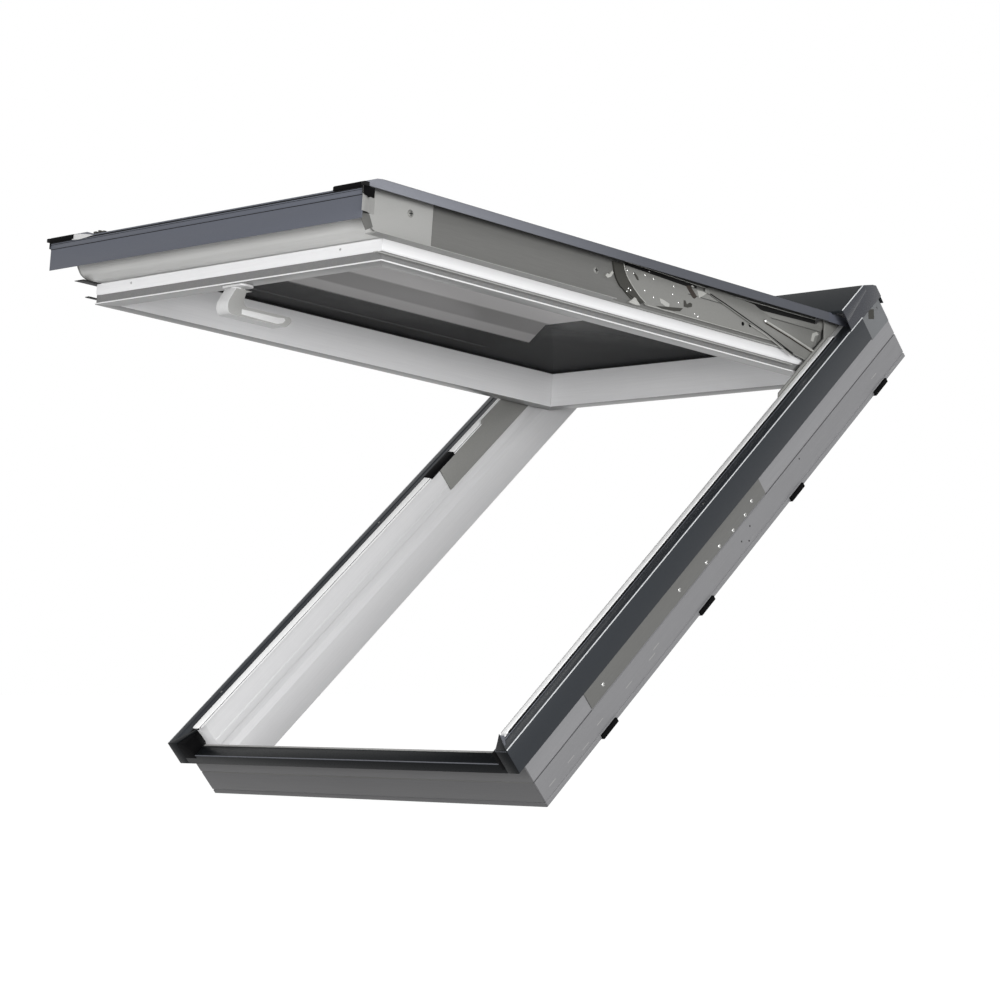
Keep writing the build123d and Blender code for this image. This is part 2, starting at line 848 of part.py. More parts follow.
sash_skirt.part.label = "sash_skirt"
export_step(sash_skirt.part, "parts/sash_skirt.step")

# Covers over the stiles, which slope down to the skirt at their lower ends
cover_inner = skirt_half_width - side_cover_width
nose_top = side_cover_top_w - nose_depth

with BuildPart() as right_side_cover:
    with BuildSketch(sash_cut(side_cover_end_v)):
        Polygon(
            (skirt_half_width, side_cover_low_w),
            (skirt_half_width, side_cover_top_w - 2),
            (skirt_half_width - side_cover_round, side_cover_top_w),
            (cover_inner, side_cover_top_w - 4),
            (cover_inner, skirt_top_w),
            align=None,
        )
    extrude(amount=side_cover_end_v - side_cover_front_v)
    with BuildSketch(sash_section(cover_inner)):
        Polygon(
            (side_cover_front_v, nose_top),
            (side_cover_front_v + nose_length / 2, side_cover_top_w - nose_depth / 4),
            (side_cover_front_v + nose_length, side_cover_top_w),
            (side_cover_front_v, side_cover_top_w),
            align=None,
        )
    extrude(amount=side_cover_width, mode=Mode.SUBTRACT)
    with BuildPart(mode=Mode.PRIVATE) as cover_hollow:
        with BuildSketch(sash_cut(side_cover_end_v)):
            Polygon(
                (skirt_half_width - cover_sheet, skirt_top_w - 1),
                (skirt_half_width - cover_sheet, side_cover_top_w - 3),
                (skirt_half_width - side_cover_round, side_cover_top_w - cover_sheet),
                (cover_inner + cover_sheet, side_cover_top_w - 4 - cover_sheet),
                (cover_inner + cover_sheet, skirt_top_w - 1),
                align=None,
            )
        extrude(amount=side_cover_end_v - side_cover_front_v)
        with BuildSketch(sash_section(cover_inner)):
            Polygon(
                (side_cover_front_v, nose_top - cover_sheet),
                (side_cover_front_v + nose_length / 2, side_cover_top_w - nose_depth / 4 - cover_sheet),
                (side_cover_front_v + nose_length, side_cover_top_w - cover_sheet),
                (side_cover_front_v, side_cover_top_w),
                align=None,
            )
        extrude(amount=side_cover_width, mode=Mode.SUBTRACT)
    add(cover_hollow.part, mode=Mode.SUBTRACT)
right_side_cover.part.label = "right_side_cover"
export_step(right_side_cover.part, "parts/right_side_cover.step")

with BuildPart() as left_side_cover:
    mirror(right_side_cover.part, about=Plane.YZ)
left_side_cover.part.label = "left_side_cover"
export_step(left_side_cover.part, "parts/left_side_cover.step")

# Black caps on the lower ends of the side covers, with the blocks below them
with BuildPart() as cover_caps:
    with BuildSketch(sash_section(cover_inner)):
        Polygon(
            (cap_front_v, cap_low_w),
            (cap_front_v, nose_top - cap_round),
            (cap_front_v + cap_round, nose_top - 1),
            (side_cover_front_v, nose_top),
            (side_cover_front_v, skirt_top_w),
            (skirt_v - skirt_sheet, skirt_top_w),
            (skirt_v - skirt_sheet, cap_low_w),
            align=None,
        )
    extrude(amount=side_cover_width)
    mirror(about=Plane.YZ)
cover_caps.part.label = "cover_caps"
export_step(cover_caps.part, "parts/cover_caps.step")

block_low_w = skirt_fold_w + 1
block_end_v = skirt_v + skirt_sheet + block_length - 4

with BuildPart() as corner_blocks:
    with BuildSketch(sash_section(side_outer + 1)):
        Polygon(
            (skirt_v + skirt_sheet, block_low_w),
            (skirt_v + skirt_sheet, skirt_top_w - skirt_sheet),
            (block_end_v, skirt_top_w - skirt_sheet),
            (block_end_v, block_low_w),
            align=None,
        )
    extrude(amount=skirt_half_width - side_outer - 1)
    with BuildSketch(sash_section(skirt_half_width)):
        Polygon(
            (skirt_v - 3, block_low_w),
            (skirt_v - 3, skirt_top_w),
            (block_end_v, skirt_top_w),
            (block_end_v, block_low_w - 3),
            align=None,
        )
    extrude(amount=block_sheet)
    mirror(about=Plane.YZ)
corner_blocks.part.label = "corner_blocks"
export_step(corner_blocks.part, "parts/corner_blocks.step")

# Cover over the top rail
with BuildPart() as sash_top_cover:
    with BuildSketch(sash_section()):
        Polygon(
            (top_cover_low_v, sash_top_w),
            (top_cover_low_v, sash_top_w + 3),
            (sash_high_v + 1.5, sash_top_w + 3),
            (sash_high_v + 1.5, band_high_w + 20),
            (sash_high_v, band_high_w + 20),
            (sash_high_v, sash_top_w + 1.5),
            (sash_high_v - shoulder_recess, sash_top_w),
            align=None,
        )
    extrude(amount=side_x, both=True)
sash_top_cover.part.label = "sash_top_cover"
export_step(sash_top_cover.part, "parts/sash_top_cover.step")

# Hinge arm along each side, turning on a pin under the hood
arm_x = side_outer - 1

with BuildPart() as right_hinge_arm:
    with BuildSketch(sash_section(arm_x)):
        Polygon(
            (arm_low_v, arm_low_w),
            (arm_low_v, flange_top_w),
            (hinge_v - 10, flange_top_w),
            (hinge_v - 10, arm_low_w),
            align=None,
        )
        with Locations((hinge_v, hinge_w)):
            Circle(pin_radius + 5)
        Polygon(
            (hinge_v - 24, arm_low_w),
            (hinge_v - 24, flange_top_w),
            (hinge_v - 6, hinge_w + 9),
            (hinge_v + 4, hinge_w - 10),
            align=None,
        )
    extrude(amount=arm_thickness)
    with BuildSketch(sash_section(arm_x)):
        with Locations((hinge_v, hinge_w)):
            Circle(pin_radius)
    extrude(amount=half_frame - rebate_width - bracket_thickness - arm_x)
right_hinge_arm.part.label = "right_hinge_arm"
export_step(right_hinge_arm.part, "parts/right_hinge_arm.step")

with BuildPart() as left_hinge_arm:
    mirror(right_hinge_arm.part, about=Plane.YZ)
left_hinge_arm.part.label = "left_hinge_arm"
export_step(left_hinge_arm.part, "parts/left_hinge_arm.step")

# Plate on each jamb that carries the hinge pin and the foot of the strut
with BuildPart() as hinge_brackets:
    with BuildSketch(frame_section(half_frame - rebate_width - bracket_thickness)):
        Polygon(
            (bracket_low_v, bracket_low_w),
            (bracket_low_v, jamb_top_w),
            (bracket_step_v, jamb_top_w),
            (bracket_step_v + bracket_step_w - jamb_top_w, bracket_step_w),
            (hinge_v - bracket_ear_reach, bracket_step_w),
            (hinge_v - pin_radius, hinge_w + pin_radius),
            (hinge_v + pin_radius, hinge_w + pin_radius),
            (hinge_v + bracket_ear_reach, jamb_top_w),
            (bracket_high_v, jamb_top_w),
            (bracket_high_v, bracket_low_w),
            align=None,
        )
        with Locations((hinge_v, hinge_w)):
            Circle(pin_radius + bracket_thickness)
    extrude(amount=bracket_thickness)
    mirror(about=Plane.YZ)
hinge_brackets.part.label = "hinge_brackets"
export_step(hinge_brackets.part, "parts/hinge_brackets.step")

# Deep plate under each arm, from the pivot in the middle to the hinge, with its curved guide
with BuildPart() as pivot_plates:
    with BuildSketch(sash_section(arm_x)):
        Polygon(
            (arm_low_v - 10, plate_low_w),
            (arm_low_v - 10, arm_low_w - 1),
            (plate_end_v, arm_low_w - 1),
            (plate_end_v, plate_low_w),
            align=None,
        )
        with Locations((plate_edge_centre_v, plate_edge_centre_w)):
            Circle(plate_edge_radius, mode=Mode.INTERSECT)
        Polygon(
            (plate_end_v - 90, plate_low_w),
            (plate_end_v - 90, arm_low_w - 1),
            (hinge_v - 16, arm_low_w - 1),
            (hinge_v - 24, plate_low_w + 12),
            (hinge_v - 50, plate_low_w),
            align=None,
        )
    extrude(amount=arm_thickness)
    mirror(about=Plane.YZ)
pivot_plates.part.label = "pivot_plates"
export_step(pivot_plates.part, "parts/pivot_plates.step")

with BuildPart() as pivot_guides:
    with BuildSketch(sash_section(arm_x)):
        with Locations((guide_centre_v, guide_centre_w)):
            Circle(guide_radius)
            Circle(guide_radius - guide_width, mode=Mode.SUBTRACT)
        with Locations(((guide_centre_v - guide_radius + guide_end_v) / 2, (plate_low_w + arm_low_w) / 2)):
            Rectangle(
                guide_end_v - guide_centre_v + guide_radius,
                arm_low_w - plate_low_w - 2,
                mode=Mode.INTERSECT,
            )
        with Locations((plate_edge_centre_v, plate_edge_centre_w)):
            Circle(plate_edge_radius + 0.5, mode=Mode.SUBTRACT)
    extrude(amount=arm_thickness - 1)
    mirror(about=Plane.YZ)
pivot_guides.part.label = "pivot_guides"
export_step(pivot_guides.part, "parts/pivot_guides.step")

# Strut between the arm and the foot of the bracket, with a rod along it
strut_x = arm_x + arm_thickness + strut_gap

with BuildPart() as right_strut:
    with BuildSketch(sash_section(strut_x)):
        Polygon(
            (strut_pin_v - strut_head_reach, strut_pin_w - strut_head_reach / 2),
            (strut_pin_v - strut_head_reach, strut_pin_w + strut_head_reach / 2),
            (strut_pin_v + strut_head_reach, strut_pin_w + strut_head_reach),
            (strut_elbow_v - strut_foot_bend, strut_pin_w),
            (strut_elbow_v, strut_elbow_w),
            (strut_foot_v - strut_foot_bend, strut_foot_high_w + strut_foot_bend / 2),
            (strut_foot_v, strut_foot_high_w),
            (strut_foot_v, strut_foot_low_w),
            (strut_foot_v - strut_foot_bend, strut_foot_low_w + strut_foot_bend / 8),
            (strut_foot_v - strut_foot_length, strut_foot_low_w + strut_foot_bend / 3),
            (strut_pin_v, strut_pin_w - strut_head_reach / 2),
            align=None,
        )
    extrude(amount=strut_thickness)
    with BuildSketch(sash_section(strut_x - strut_gap)):
        with Locations((strut_pin_v, strut_pin_w)):
            Circle(strut_pin_radius)
    extrude(amount=strut_thickness + strut_gap + 1)
right_strut.part.label = "right_strut"
export_step(right_strut.part, "parts/right_strut.step")

with BuildPart() as left_strut:
    mirror(right_strut.part, about=Plane.YZ)
left_strut.part.label = "left_strut"
export_step(left_strut.part, "parts/left_strut.step")

# Handle: a plate on the bottom rail and a hooked lever that turns on it
with BuildPart() as handle_plate:
    with BuildSketch(sash_plan(sash_room_w - handle_plate_thickness)):
        with Locations((0, handle_v)):
            RectangleRounded(handle_plate_width, handle_plate_depth, 8)
    extrude(amount=handle_plate_thickness)
handle_plate.part.label = "handle_plate"
export_step(handle_plate.part, "parts/handle_plate.step")

handle_gap = 0.2
hub_top_w = sash_room_w - handle_plate_thickness - handle_gap
hub_low_w = hub_top_w - handle_hub_height

with BuildPart() as handle_lever:
    with BuildSketch(sash_plan(hub_low_w)):
        with Locations((0, handle_v)):
            Circle(handle_hub_radius)
    extrude(amount=handle_hub_height)
    with BuildSketch(sash_section()):
        with BuildLine():
            front = Spline(
                (handle_v - handle_neck, hub_low_w),
                (handle_v - handle_reach + handle_bend / 3, grip_low_w + 2 * handle_bend),
                (handle_v - handle_reach, grip_low_w + handle_bend),
                tangents=((-0.6, -1), (0, -1)),
            )
            toe = Spline(
                front @ 1,
                (handle_v - handle_reach + handle_bend / 6, grip_low_w + handle_bend / 3),
                (handle_v - handle_reach + 0.8 * handle_bend, grip_low_w),
                tangents=((0, -1), (1, 0)),
            )
            under = Line(toe @ 1, (grip_end_v - handle_tip, grip_low_w))
            tip = Spline(
                under @ 1,
                (grip_end_v - handle_tip / 4, grip_low_w + handle_tip / 3),
                (grip_end_v, grip_low_w + 3 * handle_tip / 4),
                (grip_end_v - handle_tip / 3, grip_low_w + grip_thickness),
                tangents=((1, 0), (-1, 0.2)),
            )
            upper = Line(tip @ 1, (handle_v + handle_neck, grip_low_w + grip_thickness))
            neck = Spline(
                upper @ 1,
                (handle_v + handle_neck / 4, grip_low_w + 1.85 * handle_bend),
                (handle_v + handle_neck / 2.3, grip_low_w + 2.8 * handle_bend),
                (handle_v + handle_neck + handle_bend / 3, hub_low_w),
                tangents=((-1, 0), (1, 0.3)),
            )
            Line(neck @ 1, front @ 0)
        make_face()
    extrude(amount=handle_width / 2, both=True)
handle_lever.part.label = "handle_lever"
export_step(handle_lever.part, "parts/handle_lever.step")
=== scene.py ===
"""White plastic roof window standing open from its head, dressed for rendering and export.

Sizes in the classes are millimetres. Each leaf of the window gives its places as x across, v up the
leaf from its foot and w outward from the room, and turns them to metres in the shared frame.
"""
import logging
import math
from dataclasses import dataclass
from enum import Enum
from typing import Any, Dict, List, Optional, Sequence, Tuple

import bmesh
import bpy
from mathutils import Matrix, Vector


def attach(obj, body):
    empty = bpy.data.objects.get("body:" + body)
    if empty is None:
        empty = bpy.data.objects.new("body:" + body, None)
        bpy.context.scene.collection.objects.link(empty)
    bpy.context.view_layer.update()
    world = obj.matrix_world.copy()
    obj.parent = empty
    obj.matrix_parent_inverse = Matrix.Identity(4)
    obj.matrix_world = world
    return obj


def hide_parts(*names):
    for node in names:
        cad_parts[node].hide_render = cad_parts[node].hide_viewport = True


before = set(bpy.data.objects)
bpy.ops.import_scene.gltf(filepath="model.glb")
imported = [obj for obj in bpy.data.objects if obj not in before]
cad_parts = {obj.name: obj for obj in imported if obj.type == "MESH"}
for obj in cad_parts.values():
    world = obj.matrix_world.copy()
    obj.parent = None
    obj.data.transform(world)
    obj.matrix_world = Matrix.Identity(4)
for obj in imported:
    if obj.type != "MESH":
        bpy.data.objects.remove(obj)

log = logging.getLogger("roof window")
MM = 0.001
Pair = Tuple[float, float]
Triple = Tuple[float, float, float]
Outline = Sequence[Pair]
BMesh = bmesh.types.BMesh
Tree = bpy.types.NodeTree


@dataclass(frozen=True)
class Leaf:
    """A leaf of the window, either the fixed frame or the open sash.

    Attributes:
        tilt: slope of the leaf above the horizontal, in degrees.
        anchor: place in the shared frame, y then z in mm, of the leaf's point at v and w below.
        anchor_v: distance of that point up the leaf.
        anchor_w: distance of that point out from the room.
    """

    tilt: float
    anchor: Pair
    anchor_v: float
    anchor_w: float

    def point(self, x: float, v: float, w: float) -> Vector:
        """A place on the leaf, in metres.

        Args:
            x: distance across from the middle, in mm.
            v: distance up the leaf from its foot, in mm.
            w: distance outward from the room side, in mm.

        Returns:
            The place in the shared frame.
        """
        t = math.radians(self.tilt)
        dv, dw = v - self.anchor_v, w - self.anchor_w
        y = self.anchor[0] + dv * math.cos(t) - dw * math.sin(t)
        z = self.anchor[1] + dv * math.sin(t) + dw * math.cos(t)
        return Vector((x, y, z)) * MM

    def direction(self, x: float, v: float, w: float) -> Vector:
        """A direction given along the leaf's own axes, in the shared frame."""
        return (self.point(x, v, w) - self.point(0, 0, 0)).normalized()


FRAME = Leaf(40.0, (0.0, 0.0), 21.7, 0.0)
HINGE = FRAME.point(0, 1083.5, 146.5) / MM
SASH = Leaf(-5.0, (HINGE.y, HINGE.z), 1083.5, 146.5)


class Run(Enum):
    """The way a profile or a sheet was drawn: its tilt in degrees, or across the window."""

    ACROSS = "across"
    FRAME = "frame"
    SASH = "sash"


def linear(code: str) -> Tuple[float, float, float, float]:
    """Turns an sRGB hex colour to the linear one that a shader takes."""
    parts = [int(code[i : i + 2], 16) / 255 for i in (1, 3, 5)]
    return tuple(c / 12.92 if c <= 0.04045 else ((c + 0.055) / 1.055) ** 2.4 for c in parts) + (1.0,)


def add_node(tree: Tree, kind: str, inputs: Optional[Dict[Any, Any]] = None, **settings: Any):
    """Adds a node, sets it and links it.

    Args:
        tree: the node tree.
        kind: the node's type name.
        inputs: socket name or number to a value, or to the output socket it is linked from.
        **settings: the node's own settings.

    Returns:
        The node.
    """
    node = tree.nodes.new(kind)
    for key, value in settings.items():
        setattr(node, key, value)
    for key, value in (inputs or {}).items():
        if isinstance(value, bpy.types.NodeSocket):
            tree.links.new(value, node.inputs[key])
        else:
            node.inputs[key].default_value = value
    return node


@dataclass(frozen=True)
class Finish:
    """A surface finish, with the fine pattern that its making leaves.

    Attributes:
        name: plain name of the material.
        colour: its colour.
        shade: the colour of the pattern's darker places.
        roughness: how dull the surface is.
        metallic: 1 for bare metal.
        specular: specular level of the surface.
        grain: width of one mark of the pattern, in mm.
        stretch: length of a mark over its width, along the drawn direction.
        spread: how far the roughness varies.
        relief: height of the pattern, in mm.
    """

    name: str
    colour: str
    shade: str
    roughness: float
    metallic: float = 0.0
    specular: float = 0.5
    grain: float = 1.2
    stretch: float = 1.0
    spread: float = 0.05
    relief: float = 0.003

    def tint(self, tree: Tree, place: Any, noise: Any) -> Any:
        """The surface's colour before it reaches the shader.

        Args:
            tree: the material's tree.
            place: the object coordinates.
            noise: the pattern's strength.

        Returns:
            The colour's socket.
        """
        mix = add_node(
            tree,
            "ShaderNodeMix",
            {0: noise, 6: linear(self.colour), 7: linear(self.shade)},
            data_type="RGBA",
        )
        return mix.outputs[2]

    def shader(self, tree: Tree, inputs: Dict[str, Any]) -> Any:
        """The shader itself, given its linked inputs."""
        settings = {"Metallic": self.metallic, "Specular IOR Level": self.specular}
        return add_node(tree, "ShaderNodeBsdfPrincipled", {**settings, **inputs}).outputs[0]

    def material(self, run: Run = Run.ACROSS) -> bpy.types.Material:
        """The finish as a material whose marks lie along the drawn direction.

        Args:
            run: the direction in which the piece was drawn or rolled.

        Returns:
            The material, made once for each direction.
        """
        title = f"{self.name}, {run.value}" if self.stretch != 1 else self.name
        found = bpy.data.materials.get(title)
        if found:
            return found
        made = bpy.data.materials.new(title)
        made.use_nodes = True
        made.diffuse_color = linear(self.colour)
        tree = made.node_tree
        tree.nodes.clear()
        tilt = {Run.ACROSS: 0.0, Run.FRAME: FRAME.tilt, Run.SASH: SASH.tilt}[run]
        place = add_node(tree, "ShaderNodeTexCoord").outputs["Object"]
        turned = add_node(
            tree,
            "ShaderNodeVectorRotate",
            {"Vector": place, "Angle": -math.radians(tilt)},
            rotation_type="X_AXIS",
        ).outputs[0]
        fine, long = 1 / (self.grain * MM), 1 / (self.grain * self.stretch * MM)
        scale = (long, fine, fine) if run is Run.ACROSS else (fine, long, fine)
        scaled = add_node(tree, "ShaderNodeMapping", {"Vector": turned, "Scale": scale}).outputs[0]
        noise = add_node(
            tree, "ShaderNodeTexNoise", {"Vector": scaled, "Scale": 1.0, "Detail": 3.0, "Roughness": 0.6}
        ).outputs[0]
        strength = add_node(
            tree, "ShaderNodeMapRange", {"Value": noise, "From Min": 0.35, "From Max": 0.7}
        ).outputs[0]
        rough = add_node(
            tree,
            "ShaderNodeMapRange",
            {
                "Value": noise,
                "From Min": 0.3,
                "From Max": 0.7,
                "To Min": max(self.roughness - self.spread, 0.02),
                "To Max": self.roughness + self.spread,
            },
        ).outputs[0]
        bump = add_node(
            tree, "ShaderNodeBump", {"Height": noise, "Strength": 1.0, "Distance": self.relief * MM}
        ).outputs[0]
        surface = self.shader(
            tree, { "Base Color": self.tint(tree, place, strength), "Roughness": rough, "Normal": bump, }
        )
        add_node(tree, "ShaderNodeOutputMaterial", {"Surface": surface})
        return made


@dataclass(frozen=True)
class SkinnedProfile(Finish):
    """White profile whose outermost faces carry a grey skin, with painted shade on its lower face and in the
    side groove.

    Attributes:
        skin: colour of the skin.
        skin_shade: colour of its drawn streaks.
        groove: colour of the painted shade in the groove along the skin.
        foot_shade_share: how light the skin of the lower face is beside the rest, as painted shade.
        half_width: distance of the outer side faces from the middle, in mm.
        foot_v: place up the frame of the lower outer face, in mm.
        head_v: place up the frame of the upper outer face, in mm.
        groove_w: where the groove lies, out from the room, in mm.
        plated_v: where the side plates hide the groove, up the frame in mm.
        upper_share: how light the skin is above the groove beside the rest.
    """

    skin: str = "#7D7D7F"
    skin_shade: str = "#79797B"
    groove: str = "#4C4C4E"
    foot_shade_share: float = 0.46
    half_width: float = 387.4
    foot_v: float = 2.6
    head_v: float = 1185.4
    groove_w: Pair = (46.9, 49.1)
    plated_v: Pair = (170.0, 721.0)
    upper_share: float = 1.18

    def tint(self, tree: Tree, place: Any, noise: Any) -> Any:
        """White inside, and the grey skin where a point lies on an outermost face, darkened by painted shade
        on the lower face and in the side groove.
        """
        white = super().tint(tree, place, noise)
        slope = add_node(
            tree,
            "ShaderNodeVectorRotate",
            {"Vector": place, "Angle": -math.radians(FRAME.tilt)},
            rotation_type="X_AXIS",
        ).outputs[0]
        axes = add_node(tree, "ShaderNodeSeparateXYZ", {0: slope}).outputs
        side = add_node(tree, "ShaderNodeMath", {0: axes[0]}, operation="ABSOLUTE").outputs[0]
        foot, head = ((v - FRAME.anchor_v) * MM for v in (self.foot_v, self.head_v))
        on_side, on_foot, on_head = (
            add_node(tree, "ShaderNodeMath", {0: value, 1: limit}, operation=test).outputs[0]
            for value, limit, test in (
                (side, self.half_width * MM, "GREATER_THAN"),
                (axes[1], foot, "LESS_THAN"),
                (axes[1], head, "GREATER_THAN"),
            )
        )
        either = add_node(tree, "ShaderNodeMath", {0: on_side, 1: on_foot}, operation="MAXIMUM").outputs[0]
        outer = add_node(tree, "ShaderNodeMath", {0: either, 1: on_head}, operation="MAXIMUM").outputs[0]
        grey = add_node(
            tree,
            "ShaderNodeMix",
            {0: noise, 6: linear(self.skin), 7: linear(self.skin_shade)},
            data_type="RGBA",
        ).outputs[2]
        # painted shade: the skin of the lower, down-facing face is dimmed
        shares = add_node(
            tree, "ShaderNodeMapRange", {"Value": on_foot, "To Min": 1.0, "To Max": self.foot_shade_share}
        ).outputs[0]
        dimmed = add_node(
            tree, "ShaderNodeVectorMath", {0: grey, "Scale": shares}, operation="SCALE"
        ).outputs[0]
        low, high = (v - FRAME.anchor_v for v in self.plated_v)
        in_groove, plated = (
            add_node(
                tree,
                "ShaderNodeMath",
                {0: axis, 1: (start + end) / 2 * MM, 2: (end - start) / 2 * MM},
                operation="COMPARE",
            ).outputs[0]
            for axis, start, end in ((axes[2], *self.groove_w), (axes[1], low, high))
        )
        bare = add_node(tree, "ShaderNodeMath", {0: on_side, 1: plated}, operation="SUBTRACT").outputs[0]
        # painted shade in the side groove, where the side plates leave it bare
        groove_shade = add_node(
            tree, "ShaderNodeMath", {0: in_groove, 1: bare}, operation="MULTIPLY"
        ).outputs[0]
        over = add_node(
            tree, "ShaderNodeMath", {0: axes[2], 1: self.groove_w[1] * MM}, operation="GREATER_THAN"
        ).outputs[0]
        upper = add_node(tree, "ShaderNodeMath", {0: over, 1: on_side}, operation="MULTIPLY").outputs[0]
        raised = add_node(
            tree, "ShaderNodeMapRange", {"Value": upper, "To Min": 1.0, "To Max": self.upper_share}
        ).outputs[0]
        dimmed = add_node(
            tree, "ShaderNodeVectorMath", {0: dimmed, "Scale": raised}, operation="SCALE"
        ).outputs[0]
        lined = add_node(
            tree, "ShaderNodeMix", {0: groove_shade, 6: dimmed, 7: linear(self.groove)}, data_type="RGBA"
        ).outputs[2]
        return add_node(tree, "ShaderNodeMix", {0: outer, 6: white, 7: lined}, data_type="RGBA").outputs[2]


def sash_axes(tree: Tree, place: Any) -> Tuple[Any, Pair]:
    """Sockets that measure along the sash, whatever its tilt.

    Args:
        tree: the material's nodes.
        place: socket with the object coordinates.

    Returns:
        The three sockets, and what the second and third read at the sash's zero, in metres.
    """
    turned = add_node(
        tree,
        "ShaderNodeVectorRotate",
        {"Vector": place, "Angle": -math.radians(SASH.tilt)},
        rotation_type="X_AXIS",
    ).outputs[0]
    zero, tilt = SASH.point(0, 0, 0), math.radians(SASH.tilt)
    along = zero.y * math.cos(tilt) + zero.z * math.sin(tilt)
    height = zero.z * math.cos(tilt) - zero.y * math.sin(tilt)
    return add_node(tree, "ShaderNodeSeparateXYZ", {0: turned}).outputs, (along, height)


@dataclass(frozen=True)
class FacedProfile(Finish):
    """White sash profile with painted shade: a greyer face toward the room, and sides that darken under their
    plates.

    Attributes:
        face: colour of the painted shade on that face.
        face_w: where it ends, out from the room, in mm.
        shaded_x: past this distance from the middle the sides darken with painted shade under their plates, in
            mm.
        shaded_w: where that shade begins and ends, out from the room, in mm.
        shaded_share: how light the plastic is at its end.
    """

    face: str = "#848484"
    face_w: float = 49.4
    shaded_x: float = 340.0
    shaded_w: Pair = (68.0, 92.0)
    shaded_share: float = 0.6

    def tint(self, tree: Tree, place: Any, noise: Any) -> Any:
        """White, darkened by painted shade on the sides under their plates, and the greyer painted shade where
        a point lies on the room face.
        """
        white = super().tint(tree, place, noise)
        axes, (_, base) = sash_axes(tree, place)
        height = axes[2]
        painted_face_shade = add_node(
            tree, "ShaderNodeMath", {0: height, 1: base + self.face_w * MM}, operation="LESS_THAN"
        ).outputs[0]
        side = add_node(tree, "ShaderNodeMath", {0: axes[0]}, operation="ABSOLUTE").outputs[0]
        on_side = add_node(
            tree, "ShaderNodeMath", {0: side, 1: self.shaded_x * MM}, operation="GREATER_THAN"
        ).outputs[0]
        start, end = (base + w * MM for w in self.shaded_w)
        depth = add_node(
            tree,
            "ShaderNodeMapRange",
            {"Value": height, "From Min": start, "From Max": end, "To Max": 1 - self.shaded_share},
        ).outputs[0]
        loss = add_node(tree, "ShaderNodeMath", {0: depth, 1: on_side}, operation="MULTIPLY").outputs[0]
        left = add_node(tree, "ShaderNodeMath", {0: 1.0, 1: loss}, operation="SUBTRACT").outputs[0]
        shaded = add_node(
            tree, "ShaderNodeVectorMath", {0: white, "Scale": left}, operation="SCALE"
        ).outputs[0]
        return add_node(
            tree, "ShaderNodeMix", {0: painted_face_shade, 6: shaded, 7: linear(self.face)}, data_type="RGBA"
        ).outputs[2]


@dataclass(frozen=True)
class HeadShadedSheet(Finish):
    """Coated sheet with painted shade that darkens it toward the head of the window.

    Attributes:
        head: colour of the painted shade at the head.
        reach: where the change begins and ends, along the object's y in metres.
    """

    head: str = "#5C5E64"
    reach: Pair = (-0.40, 0.22)

    def tint(self, tree: Tree, place: Any, noise: Any) -> Any:
        """The sheet's colour, mixed toward the head's painted shade."""
        foot = super().tint(tree, place, noise)
        along = add_node(tree, "ShaderNodeSeparateXYZ", {0: place}).outputs[1]
        share = add_node(
            tree, "ShaderNodeMapRange", {"Value": along, "From Min": self.reach[0], "From Max": self.reach[1]}
        ).outputs[0]
        return add_node(
            tree, "ShaderNodeMix", {0: share, 6: foot, 7: linear(self.head)}, data_type="RGBA"
        ).outputs[2]


